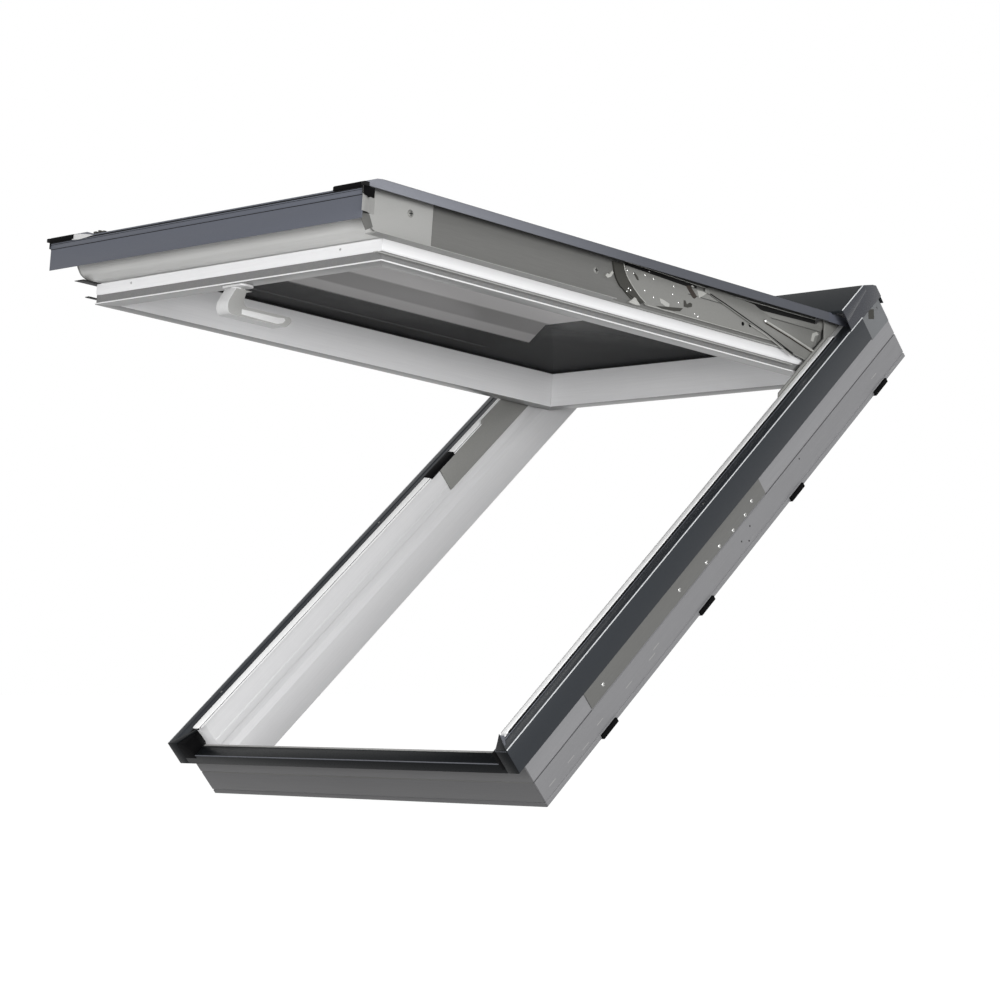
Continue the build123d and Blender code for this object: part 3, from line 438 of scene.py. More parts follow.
@dataclass(frozen=True)
class Pane(Finish):
    """Tinted glass with painted reflections of the room: pale bands on its inner face that grow paler toward
    one side.

    Attributes:
        bands: where the painted reflection's tone changes, across from the middle in mm, and its colour from
            there on.
        edge: half the width over which it changes, in mm.
        banded_w: how far out from the room the bands reach, in mm, so that the outer face has none.
        pale_end: how far up the sash the bands reach at two places across, in mm.
        mirror: share of the light that the glass mirrors or lets through.
        clear: share of the light that passes.
    """

    bands: Sequence[Tuple[float, str]] = (
        (-400.0, "#2E2E2F"), (-231.0, "#6A6A6A"), (-226.0, "#2E2E2F"), (-125.0, "#DCDADA"),
        (-65.0, "#B2B0B0"), (25.0, "#FAF8F8"),
    )
    edge: float = 5.0
    banded_w: float = 120.0
    pale_end: Tuple[Pair, Pair] = ((-125.0, 842.0), (14.0, 738.0))
    mirror: float = 0.22
    clear: float = 0.5

    def shader(self, tree: Tree, inputs: Dict[str, Any]) -> Any:
        """Painted reflections as dull bands, under a mirror that lets some light through."""
        place = add_node(tree, "ShaderNodeTexCoord").outputs["Object"]
        across = add_node(tree, "ShaderNodeSeparateXYZ", {0: place}).outputs[0]
        reflection_tone: Any = linear(self.bands[0][1])
        for x, code in self.bands[1:]:
            past = add_node(
                tree,
                "ShaderNodeMapRange",
                {"Value": across, "From Min": (x - self.edge) * MM, "From Max": (x + self.edge) * MM},
            ).outputs[0]
            reflection_tone = add_node(
                tree, "ShaderNodeMix", {0: past, 6: reflection_tone, 7: linear(code)}, data_type="RGBA"
            ).outputs[2]
        axes, (start, base) = sash_axes(tree, place)
        (left, left_v), (right, right_v) = self.pale_end
        limit = add_node(
            tree,
            "ShaderNodeMapRange",
            {
                "Value": axes[0],
                "From Min": left * MM,
                "From Max": right * MM,
                "To Min": start + left_v * MM,
                "To Max": start + right_v * MM,
            },
        ).outputs[0]
        past = add_node(tree, "ShaderNodeMath", {0: axes[1], 1: limit}, operation="GREATER_THAN").outputs[0]
        outside = add_node(
            tree, "ShaderNodeMath", {0: axes[2], 1: base + self.banded_w * MM}, operation="GREATER_THAN"
        ).outputs[0]
        plain = add_node(tree, "ShaderNodeMath", {0: past, 1: outside}, operation="MAXIMUM").outputs[0]
        reflection_tone = add_node(
            tree, "ShaderNodeMix", {0: plain, 6: reflection_tone, 7: inputs["Base Color"]}, data_type="RGBA"
        ).outputs[2]
        mirror = super().shader(tree, {**inputs, "Transmission Weight": self.clear})
        dull = add_node(tree, "ShaderNodeBsdfDiffuse", {"Color": reflection_tone}).outputs[0]
        return add_node(tree, "ShaderNodeMixShader", {0: self.mirror, 1: dull, 2: mirror}).outputs[0]


# Extruded sash plastic: smooth and white, with faint lines along the profile from the die, and painted shade
# on its room face and on its sides under the plates
SASH_PROFILE = FacedProfile(
    "extruded sash plastic", "#EBEBEC", "#E7E7E8", 0.34, grain=2, stretch=60, spread=0.02, relief=0.001
)
# Frame plastic with its grey outer skin, whose drawn streaks catch the light, and painted shade on the lower
# face and in the side groove
FRAME_PROFILE = SkinnedProfile(
    "extruded frame plastic", "#DADADB", "#D6D6D7", 0.36, grain=2, stretch=50, spread=0.02, relief=0.001
)
# Powder coated jamb covers: dark, with a fine peel that softens their mirror
DARK_SHEET = Finish("dark coated sheet", "#313438", "#2D3034", 0.34, specular=0.15)
# Coated sash sheet: bluish grey, a little duller
SASH_SHEET = Finish("grey coated sheet", "#5A5D66", "#565962", 0.4, specular=0.2)
# Side covers: light and quite matt, with painted shade that darkens them toward the head
SHADED_COVER_SHEET = HeadShadedSheet("light coated sheet with painted shade", "#888A91", "#84868D", 0.8, specular=0.02)
# Sill sheet: nearly black, with the clearest mirror of the sheets
SILL_SHEET = Finish("glossy sill sheet", "#17191B", "#141618", 0.3, specular=0.06)
# Rolled ends of the hood: a bright streak runs along their curve
ROLLED_SHEET = Finish("rolled sheet edge", "#36383E", "#32343A", 0.26, specular=0.4)
# Hood: dark and evenly soft
HOOD_SHEET = Finish("hood coated sheet", "#222528", "#1F2225", 0.4, specular=0.15)
# Rolled metal of the side plates: dull, with fine rolling lines
SIDE_SHEET = Finish("rolled side sheet", "#696967", "#656563", 0.45, specular=0.3, grain=1.5, stretch=30)
# Zinc plated steel of the moving fittings: grey, with a faint metal sheen
PLATED_STEEL = Finish("zinc plated steel", "#82827F", "#7C7C79", 0.42, metallic=0.2, grain=1.5)
# Screw heads: small bright sparks
BRIGHT_STEEL = Finish("bright screw steel", "#D8D8D6", "#C8C8C6", 0.22, metallic=0.8, grain=1.5, relief=0.01)
# Folded sheet edges: thin near-white lines of painted highlight where the edges catch the light
EDGE_HIGHLIGHT = Finish("painted edge highlight", "#E2E4E6", "#D4D6D8", 0.3, metallic=0.1, grain=4, relief=0.01)
# Foot profile: pale grey with drawn lines
GREY_PROFILE = Finish(
    "grey foot plastic", "#D8D8D6", "#D4D4D2", 0.42, grain=2, stretch=50, spread=0.03, relief=0.002
)
# Moulded end pieces: even, dull grey
END_PLASTIC = Finish("moulded end plastic", "#A0A09E", "#9C9C9A", 0.45, specular=0.3)
# The hollow in an end piece: the same plastic darkened as painted shade
HOLLOW_SHADE = Finish("shaded end plastic", "#666664", "#626260", 0.5, specular=0.2)
# Rims, tabs, plates and strut rods: steel lightened as painted highlight, lighter than the plating round them
HIGHLIT_STEEL = Finish("steel with painted highlight", "#B4B4B0", "#A4A4A0", 0.4, metallic=0.1, grain=1.5)
# Guides and the skirt clip: dark, dull steel; the same colour lies as painted shade in slots and recesses and
# as a painted shadow under a plate
DARK_STEEL_AND_SHADE = Finish("dark steel and painted shade", "#3E3E3A", "#383734", 0.5, specular=0.2, grain=1.5)
# Folds between fittings and the line under each strut rod: a brownish painted shade
BROWN_SHADE = Finish("brown painted shade", "#3A342F", "#332E2A", 0.5, specular=0.2, grain=1.5)
# Clips, caps and plugs: deep black without a mirror
BLACK_PLASTIC = Finish(
    "black moulded plastic", "#070708", "#050506", 0.7, specular=0.05, grain=1.5, relief=0.004
)
# Jamb seals: the whitest strips of the window
PALE_SEAL = Finish(
    "pale sealing strip", "#FAFAFA", "#F6F6F6", 0.5, grain=2, stretch=20, spread=0.02, relief=0.0005
)
# Glazing rubber: dull near-black; the left lip seals carry it as painted shade
DARK_RUBBER_AND_SHADE = Finish(
    "dark rubber seal and painted shade", "#1C1C1C", "#181818", 0.6, specular=0.2, grain=1.5, stretch=10, relief=0.01
)
# Seal in the sash's groove: mid grey
GROOVE_SEAL = Finish(
    "grey groove seal", "#7A7A7A", "#747474", 0.55, specular=0.3, grain=2, stretch=20, relief=0.01
)
# Handle and small white parts: smooth coat with a soft shine; also laid as painted highlight on the cover's
# nose and the grip's sides
WHITE_COAT_AND_HIGHLIGHT = Finish("white powder coat and painted highlight", "#D0D0D0", "#C6C6C6", 0.36, relief=0.004)
# Flat sides of the lever: the white coat greyed as painted shade
HANDLE_SIDE_SHADE = Finish("painted shade on lever sides", "#9C9C9A", "#989896", 0.5, specular=0.3)
# Head plates: plain mid grey
HEAD_SHEET = Finish("coated head sheet", "#747678", "#707274", 0.5, specular=0.2)
# Glass: dark, with painted reflections of the room as pale bands on its inner face
DARK_GLASS = Pane("tinted coated glass", "#38393A", "#343536", 0.2, grain=60, spread=0.03, relief=0.0)
# Painted shade in recesses, holes and gaps: a dull dark that stands in for their depth
RECESS_SHADE = Finish("painted recess shade", "#1A1A1A", "#141414", 0.7, specular=0.1, grain=1.0, relief=0.01)


def rounded(bm: BMesh, width: float, segments: int = 2, sharper_than: float = 25.0) -> None:
    """Merges a mesh's flat faces and rounds its sharp edges.

    Args:
        bm: the mesh.
        width: the rounding's width, in mm.
        segments: faces across each rounding.
        sharper_than: only edges that turn by more than this, in degrees, are rounded.
    """
    bmesh.ops.remove_doubles(bm, verts=bm.verts, dist=0.00001)
    bmesh.ops.dissolve_limit(bm, angle_limit=math.radians(0.4), verts=bm.verts, edges=bm.edges)
    if width:
        limit = math.radians(sharper_than)
        edges = [e for e in bm.edges if e.is_manifold and e.calc_face_angle(0) > limit]
        bmesh.ops.bevel(
            bm,
            geom=edges,
            offset=width * MM,
            segments=segments,
            profile=0.5,
            affect="EDGES",
            clamp_overlap=True,
        )
    bmesh.ops.recalc_face_normals(bm, faces=bm.faces)


def box(near: float, far: float, low: float, high: float) -> List[Pair]:
    """Outline of a bar between two places on the first axis and two on the second."""
    return [(near, low), (near, high), (far, high), (far, low)]


class Group:
    """Shared work of the window's sub-assemblies."""

    body = "window"

    def piece(
        self,
        name: str,
        bm: BMesh,
        finish: Finish,
        slot: str,
        run: Run = Run.ACROSS,
        replaced: Sequence[str] = (),
        smooth: float = 30.0,
    ) -> bpy.types.Object:
        """Makes an object of a mesh, dresses it and lets it ride.

        Args:
            name: the piece's name.
            bm: its mesh, which is used up.
            finish: its finish.
            slot: the name of the finish's slot; not used.
            run: the direction in which it was drawn.
            replaced: CAD nodes that it stands for.
            smooth: edges below this angle are shaded smooth, in degrees.

        Returns:
            The object.
        """
        mesh = bpy.data.meshes.new(name)
        bm.to_mesh(mesh)
        bm.free()
        return self.dressed(name, mesh, finish, slot, run, replaced, smooth)

    def dressed(
        self,
        name: str,
        mesh: bpy.types.Mesh,
        finish: Optional[Finish],
        slot: str,
        run: Run = Run.ACROSS,
        replaced: Sequence[str] = (),
        smooth: float = 30.0,
    ) -> bpy.types.Object:
        """As piece, for a finished mesh, which keeps its own materials where no finish is given."""
        mesh.name = name
        if finish:
            mesh.materials.clear()
            mesh.materials.append(finish.material(run))
        mesh.polygons.foreach_set("use_smooth", [True] * len(mesh.polygons))
        mesh.set_sharp_from_angle(angle=math.radians(smooth))
        made = bpy.data.objects.new(name, mesh)
        bpy.context.scene.collection.objects.link(made)
        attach(made, self.body)
        if replaced:
            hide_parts(*replaced)
        log.info("%s: %d faces", name, len(mesh.polygons))
        return made

    def cad(self, node: str, finish: Finish, slot: str, run: Run = Run.ACROSS, rounding: float = 0.5) -> None:
        """Stands a rounded and dressed copy in for a CAD node.

        Args:
            node: the node's name.
            finish: its finish.
            slot: the name of its finish's slot; not used.
            run: the direction in which it was drawn.
            rounding: width of its rounded edges, in mm.
        """
        bm = bmesh.new()
        bm.from_mesh(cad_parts[node].data)
        rounded(bm, rounding)
        self.piece(f"{node}_dressed", bm, finish, slot, run, (node,))

    def strip(self, bm: BMesh, leaf: Leaf, outline: Outline, low: float, high: float) -> None:
        """Adds a bar across the window, given its outline as v and w."""
        self.sweep(bm, [[leaf.point(x, v, w) for v, w in outline] for x in (low, high)])

    def rail(self, bm: BMesh, leaf: Leaf, outline: Outline, low: float, high: float) -> None:
        """Adds a bar up the leaf, given its outline as x and w."""
        self.sweep(bm, [[leaf.point(x, v, w) for x, w in outline] for v in (low, high)])

    def slab(self, bm: BMesh, leaf: Leaf, outline: Outline, low: float, high: float) -> None:
        """Adds a plate flat on the leaf, given its outline as x and v."""
        self.sweep(bm, [[leaf.point(x, v, w) for x, v in outline] for w in (low, high)])

    def flats(self, bm: BMesh, leaf: Leaf, outline: Outline, low: float, high: float) -> None:
        """Adds a thin plate on both outer sides, given its outline as v and w."""
        for side in (-1, 1):
            self.strip(bm, leaf, outline, side * low, side * high)

    def piped(self, bm: BMesh, leaf: Leaf, path: Outline, x: float, radius: float) -> None:
        """Adds a thin rim on both outer sides, along a path given as v and w."""
        for side in (-1, 1):
            self.sweep(bm, self.tube([leaf.point(side * x, v, w) for v, w in path], radius, 8))

    @staticmethod
    def outward(leaf: Leaf, spots: Sequence[Triple]) -> List[Tuple[Vector, Vector]]:
        """Places on both outer sides, given as x, v and w, with the way that each faces."""
        return [
            (leaf.point(side * x, v, w), Vector((side, 0, 0))) for side in (-1, 1) for x, v, w in spots
        ]

    @staticmethod
    def sweep(bm: BMesh, rings: Sequence[Sequence[Vector]], closed: bool = True) -> None:
        """Joins rings of equally many points to a skin.

        Args:
            bm: the mesh that it is added to.
            rings: the rings, in order.
            closed: True where the first and the last ring are capped.
        """
        loops = [[bm.verts.new(p) for p in ring] for ring in rings]
        for a, b in zip(loops, loops[1:]):
            for i in range(len(a)):
                j = (i + 1) % len(a)
                bm.faces.new((a[i], a[j], b[j], b[i]))
        if closed:
            bm.faces.new(loops[0][::-1])
            bm.faces.new(loops[-1])
        bmesh.ops.recalc_face_normals(bm, faces=bm.faces)

    @staticmethod
    def tube(points: Sequence[Vector], radius: float, sides: int = 12) -> List[List[Vector]]:
        """Rings round a path, for sweep.

        Args:
            points: the path, in metres.
            radius: the tube's radius, in mm.
            sides: points in a ring.

        Returns:
            The rings.
        """
        rings = []
        for i, p in enumerate(points):
            ahead = (points[min(i + 1, len(points) - 1)] - points[max(i - 1, 0)]).normalized()
            side = ahead.cross(Vector((0, 0, 1)) if abs(ahead.z) < 0.9 else Vector((1, 0, 0))).normalized()
            up = side.cross(ahead)
            turns = [2 * math.pi * k / sides for k in range(sides)]
            rings.append([p + (side * math.cos(t) + up * math.sin(t)) * radius * MM for t in turns])
        return rings


@dataclass
class Heads(Group):
    """Screw heads, rivets or hole marks that repeat over a surface, laid out by one node tree.

    Attributes:
        radius: radius of a head, in mm.
        height: how far a head stands proud, in mm.
        crossed: True where the head has a cross recess.
    """

    radius: float = 3.0
    height: float = 1.2
    crossed: bool = True

    def tree(self) -> Tree:
        """The node tree that sets a head on each point of a mesh, facing its own way."""
        title = "heads on points"
        if title in bpy.data.node_groups:
            return bpy.data.node_groups[title]
        tree = bpy.data.node_groups.new(title, "GeometryNodeTree")
        socket = tree.interface.new_socket
        socket("Points", in_out="INPUT", socket_type="NodeSocketGeometry")
        for label in ("Head Radius", "Head Height", "Recess"):
            socket(label, in_out="INPUT", socket_type="NodeSocketFloat")
        for label in ("Head Finish", "Recess Finish"):
            socket(label, in_out="INPUT", socket_type="NodeSocketMaterial")
        socket("Heads", in_out="OUTPUT", socket_type="NodeSocketGeometry")
        given = add_node(tree, "NodeGroupInput").outputs
        radius, height = given["Head Radius"], given["Head Height"]
        size = add_node(tree, "ShaderNodeCombineXYZ", {0: radius, 1: radius, 2: height}).outputs[0]
        ball = add_node(
            tree, "GeometryNodeMeshUVSphere", {"Segments": 20, "Rings": 8, "Radius": 1.0}
        ).outputs[0]
        dome = add_node(tree, "GeometryNodeTransform", {"Geometry": ball, "Scale": size}).outputs[0]
        smooth = add_node(tree, "GeometryNodeSetShadeSmooth", {"Geometry": dome}).outputs[0]
        bars = []
        for turn in (0.0, math.pi / 2):
            block = add_node(tree, "GeometryNodeMeshCube", {"Size": (1.2, 0.26, 0.3)}).outputs[0]
            lifted = add_node(
                tree,
                "GeometryNodeTransform",
                {"Geometry": block, "Rotation": (0, 0, turn), "Translation": (0, 0, 0.86)},
            ).outputs[0]
            bars.append(lifted)
        cross = add_node(tree, "GeometryNodeJoinGeometry")
        for bar in bars:
            tree.links.new(bar, cross.inputs[0])
        shrunk = add_node(
            tree,
            "GeometryNodeTransform",
            {
                "Geometry": cross.outputs[0],
                "Scale": add_node(
                    tree, "ShaderNodeVectorMath", {0: size, "Scale": given["Recess"]}, operation="SCALE"
                ).outputs[0],
            },
        ).outputs[0]
        marked = add_node(
            tree,
            "GeometryNodeStoreNamedAttribute",
            {"Geometry": shrunk, "Name": "recess", "Value": True},
            data_type="BOOLEAN",
            domain="FACE",
        ).outputs[0]
        head = add_node(tree, "GeometryNodeJoinGeometry")
        for part in (smooth, marked):
            tree.links.new(part, head.inputs[0])
        facing = add_node(
            tree, "GeometryNodeInputNamedAttribute", {"Name": "facing"}, data_type="FLOAT_VECTOR"
        ).outputs[0]
        turned = add_node(tree, "FunctionNodeAlignRotationToVector", {"Vector": facing}, axis="Z").outputs[0]
        placed = add_node(
            tree,
            "GeometryNodeInstanceOnPoints",
            {"Points": given["Points"], "Instance": head.outputs[0], "Rotation": turned},
        ).outputs[0]
        real = add_node(tree, "GeometryNodeRealizeInstances", {"Geometry": placed}).outputs[0]
        coated = add_node(
            tree, "GeometryNodeSetMaterial", {"Geometry": real, "Material": given["Head Finish"]}
        ).outputs[0]
        recess = add_node(
            tree, "GeometryNodeInputNamedAttribute", {"Name": "recess"}, data_type="BOOLEAN"
        ).outputs[0]
        done = add_node(
            tree,
            "GeometryNodeSetMaterial",
            {"Geometry": coated, "Selection": recess, "Material": given["Recess Finish"]},
        ).outputs[0]
        add_node(tree, "NodeGroupOutput", {"Heads": done})
        return tree

    def lay(self, name: str, places: Sequence[Tuple[Vector, Vector]], finish: Finish, slot: str) -> None:
        """Lays the heads out and makes them one plain mesh.

        Args:
            name: the piece's name.
            places: each head's place on the surface and the way that it faces.
            finish: the heads' finish.
            slot: the name of the finish's slot; not used.
        """
        points = bpy.data.meshes.new(f"{name}_points")
        points.from_pydata([tuple(p) for p, _ in places], [], [])
        facing = points.attributes.new("facing", "FLOAT_VECTOR", "POINT")
        for i, (_, way) in enumerate(places):
            facing.data[i].vector = way
        holder = bpy.data.objects.new(f"{name}_layout", points)
        bpy.context.scene.collection.objects.link(holder)
        tree = self.tree()
        modifier = holder.modifiers.new("heads", "NODES")
        modifier.node_group = tree
        values = {
            "Head Radius": self.radius * MM,
            "Head Height": self.height * MM,
            "Recess": 1.0 if self.crossed else 0.1,
            "Head Finish": finish.material(),
            "Recess Finish": RECESS_SHADE.material(),
        }
        for item in tree.interface.items_tree:
            if item.in_out == "INPUT" and item.name in values:
                modifier[item.identifier] = values[item.name]
        held = holder.evaluated_get(bpy.context.evaluated_depsgraph_get())
        mesh = bpy.data.meshes.new_from_object(held)
        bpy.data.objects.remove(holder)
        self.dressed(name, mesh, None, slot)


@dataclass
class FrameCasing(Group):
    """The fixed frame: plastic profiles, seals, side plates, clips and their screws."""

    half_width: float = 390.0
    plate_face: float = 391.5
    screw_places: Sequence[Pair] = (
        (683.4, 62.6), (655.6, 54.9), (615.2, 54.1), (570.9, 55.7), (528.4, 55.2), (448.0, 62.7),
        (213.1, 63.2),
    )
    hole_places: Sequence[Pair] = ((654.7, 32.4), (621.6, 26.1), (637.7, 15.1), (830.7, 39.7))
    stop_block: Tuple[Pair, Pair] = ((722.0, 799.0), (124.0, 131.0))
    streaks: Sequence[Pair] = (
        (32.0, 21.5), (85.9, 21.7), (122.9, 15.0), (171.9, 22.7), (259.5, 23.8), (329.7, 22.5),
        (347.6, 28.9), (1090.0, 26.0), (1141.3, 5.0),
    )

    jamb_run: Pair = (24.0, 1064.0)
    fold_foot: float = -16.0
    fold_places: Outline = ((373.6, 127.6), (389.4, 127.3))
    fold_size: Pair = (1.5, 1.2)
    streak_half: Pair = (9.0, 0.5)
    groove_reach: float = 388.0
    head_slot: Outline = ((1151.6, 124.2), (1164.4, 115.5), (1153.2, 102.5), (1140.5, 111.3))
    channel_w: float = 127.2
    channel_places: Outline = ((383.9, 591.6), (385.4, 116.3))

    def build(self) -> None:
        """Makes and dresses the frame's pieces."""
        self.cad("frame_sill", FRAME_PROFILE, "white_plastic", Run.ACROSS, 0.6)
        self.cad("frame_head", FRAME_PROFILE, "white_plastic", Run.ACROSS, 0.6)
        self.cad("frame_left_jamb", FRAME_PROFILE, "white_plastic", Run.FRAME, 0.6)
        self.cad("frame_right_jamb", FRAME_PROFILE, "white_plastic", Run.FRAME, 0.6)
        self.cad("sill_seal", END_PLASTIC, "light_seal", Run.ACROSS, 0.4)
        self.cad("jamb_seals", PALE_SEAL, "light_seal", Run.FRAME, 0.8)
        self.cad("edge_clips", BLACK_PLASTIC, "black_plastic", Run.FRAME, 0.5)
        self.cad("side_plates", SIDE_SHEET, "side_metal", Run.FRAME, 0.3)
        self.cad("head_plates", HEAD_SHEET, "side_metal", Run.FRAME, 0.3)
        self.cad("hinge_brackets", PLATED_STEEL, "fitting_metal", Run.FRAME, 0.5)
        self.screws()
        self.stop()
        self.jamb_lines()

    def screws(self) -> None:
        """Screws, and small holes shown as dark discs of painted shade, on the outer sides of both jambs."""
        screws = self.outward(FRAME, [(self.plate_face, v, w) for v, w in self.screw_places])
        Heads(radius=3.2, height=1.2).lay("side_screws", screws, BRIGHT_STEEL, "fitting_metal")
        holes = self.outward(FRAME, [(self.half_width, v, w) for v, w in self.hole_places])
        Heads(radius=1.6, height=0.2, crossed=False).lay("side_holes", holes, RECESS_SHADE, "black_plastic")

    def jamb_lines(self) -> None:
        """Painted shade in the gaps beside each jamb's seal and in the head plates' slots, bright rims, folds
        and streaks.
        """
        dark, light, folds, marks = bmesh.new(), bmesh.new(), bmesh.new(), bmesh.new()
        for side in (-1, 1):
            for bm, bar in (
                (dark, box(354.2, 355.9, 125.3, 126.6)),
                (dark, box(369.0, 372.0, 127.0, 128.4)),
                (light, box(352.6, 353.9, 124.8, 126.8)),
            ):
                self.rail(bm, FRAME, [(side * x, w) for x, w in bar], *self.jamb_run)
        width, depth = self.fold_size
        for x, w in self.fold_places:
            self.rail(folds, FRAME, box(x, x + width, w - depth, w), self.fold_foot, self.jamb_run[1])
        along, across = self.streak_half
        for v, w in self.streaks:
            mark = box(v - along, v + along, w - across, w + across)
            self.flats(marks, FRAME, mark, self.half_width - 0.1, self.half_width + 0.05)
        self.piece("channel_folds", folds, SHADED_COVER_SHEET, "dark_metal", Run.FRAME)
        self.piece("side_streaks", marks, END_PLASTIC, "white_plastic", Run.FRAME)
        filler = bmesh.new()
        self.strip(filler, FRAME, box(0.1, 1.4, 46.9, 49.1), -self.groove_reach, self.groove_reach)
        self.piece("sill_groove_strip", filler, SIDE_SHEET, "white_plastic")
        shade = bmesh.new()
        self.flats(shade, FRAME, self.head_slot, self.plate_face - 1.0, self.plate_face + 0.3)
        self.piece("head_plate_slots", shade, DARK_STEEL_AND_SHADE, "black_plastic", Run.FRAME)
        self.piece("seal_gaps", dark, RECESS_SHADE, "black_plastic", Run.FRAME)
        self.piece("seal_rims", light, PALE_SEAL, "light_seal", Run.FRAME)
        way = FRAME.direction(0, 0, 1)
        spots = [
            (FRAME.point(side * x, v, self.channel_w), way)
            for side in (-1, 1)
            for x, v in self.channel_places
        ]
        Heads(radius=2.4, height=0.9).lay("channel_screws", spots, PLATED_STEEL, "fitting_metal")

    def stop(self) -> None:
        """Black stop block on top of the left jamb's inner wall."""
        (low, high), (foot, top) = self.stop_block
        bm = bmesh.new()
        outline = [(-371.0, foot + 2), (-351.5, foot), (-351.5, top), (-362.0, top + 1.5), (-371.0, top)]
        self.rail(bm, FRAME, outline, low, high)
        rounded(bm, 1.0)
        self.piece("left_stop_block", bm, BLACK_PLASTIC, "black_plastic", Run.FRAME)


@dataclass
class Cladding(Group):
    """The dark metal sheets of the frame: covers, end pieces, plugs and the hood."""

    outer: float = 398.0
    rim_w: float = 128.5
    hood_w: float = 169.0
    edge: float = 1.3

    def build(self) -> None:
        """Makes and dresses the sheets."""
        self.cad("sill_cover", SILL_SHEET, "dark_metal", Run.ACROSS, 0.5)
        for side in ("left", "right"):
            self.cad(f"{side}_jamb_cover", DARK_SHEET, "dark_metal", Run.FRAME, 0.5)
        self.cad("cover_ends", SILL_SHEET, "dark_metal", Run.FRAME, 0.4)
        self.cad("head_hood", HOOD_SHEET, "dark_metal", Run.ACROSS, 0.5)
        self.cad("hood_ends", ROLLED_SHEET, "dark_metal", Run.FRAME, 0.4)
        self.edge_highlights()
        self.plugs()
        self.hood_rolls()

    def plugs(self) -> None:
        """Black plugs in the lower ends of the jambs, the right one mostly behind its end plate."""
        bm = bmesh.new()
        crown = [(-360.0, 126.9), (-354.6, 125.4), (-350.2, 121.2), (-347.2, 115.2), (-345.8, 108.0)]
        ring = [(-374.6, 96.0), (-374.6, 126.9)] + crown + [(-345.4, 96.0)]
        rings = [[FRAME.point(x, v, w) for x, w in ring] for v in (-20.5, 3.0)]
        rings.append([FRAME.point(-374.6 + (x + 374.6) * 0.5, 21.5, w) for x, w in ring])
        self.sweep(bm, rings)
        behind = [(365.5, 91.0), (365.5, 124.0), (369.0, 126.6), (374.8, 126.6), (374.8, 91.0)]
        self.rail(bm, FRAME, behind, -20.4, 4.0)
        rounded(bm, 1.2)
        self.piece("corner_plug_blocks", bm, BLACK_PLASTIC, "black_plastic", Run.FRAME, ("corner_plugs",))
        plate = bmesh.new()
        outline = [(355.0, 17.0), (374.0, -20.0), (397.5, -20.5), (386.0, -5.0), (366.0, 17.0)]
        self.slab(plate, FRAME, outline, 126.9, 127.6)
        self.piece("right_end_plate", plate, SHADED_COVER_SHEET, "dark_metal", Run.FRAME)

    def hood_rolls(self) -> None:
        """Rolled edges along both ends of the hood, which narrow toward its crest."""
        bm = bmesh.new()
        for side in (-1, 1):
            rings = []
            for v, low in ((1082.0, 142.0), (1120.0, 149.0), (1160.0, 155.5)):
                bulge = [(398.6, low + 1.5), (399.4, (low + 168.6) / 2), (398.8, 167.0)]
                profile = [(397.0, low), *bulge, (397.0, 168.6)]
                rings.append([FRAME.point(side * x, v, w) for x, w in profile])
            self.sweep(bm, rings)
        self.piece("hood_rolls", bm, ROLLED_SHEET, "dark_metal", Run.FRAME, smooth=60.0)

    def edge_highlights(self) -> None:
        """Painted highlights: thin light strips along the sheets' folded edges, where they catch the light as
        bright lines.
        """
        bm = bmesh.new()
        for side in (-1, 1):
            for low, high, inset, w in (
                (-18.0, 1076.0, 0.0, self.rim_w),
                (1078.5, 1120.0, -0.6, self.rim_w - 0.3),
                (1082.0, 1159.0, 0.0, self.hood_w),
            ):
                x = side * (self.outer - inset)
                outline = box(x, x - side * self.edge, w - self.edge, w)
                grown = [(px + side * 0.15, pw + 0.15) for px, pw in outline]
                self.rail(bm, FRAME, grown, low, high)
        self.piece("bright_sheet_edges", bm, EDGE_HIGHLIGHT, "dark_metal", Run.FRAME)
        # painted highlight along the sill cover's lower edge
        lip = bmesh.new()
        self.strip(lip, FRAME, box(-20.2, -19.0, 101.5, 102.6), -374.0, 374.0)
        self.piece("sill_cover_edge", lip, SHADED_COVER_SHEET, "dark_metal")


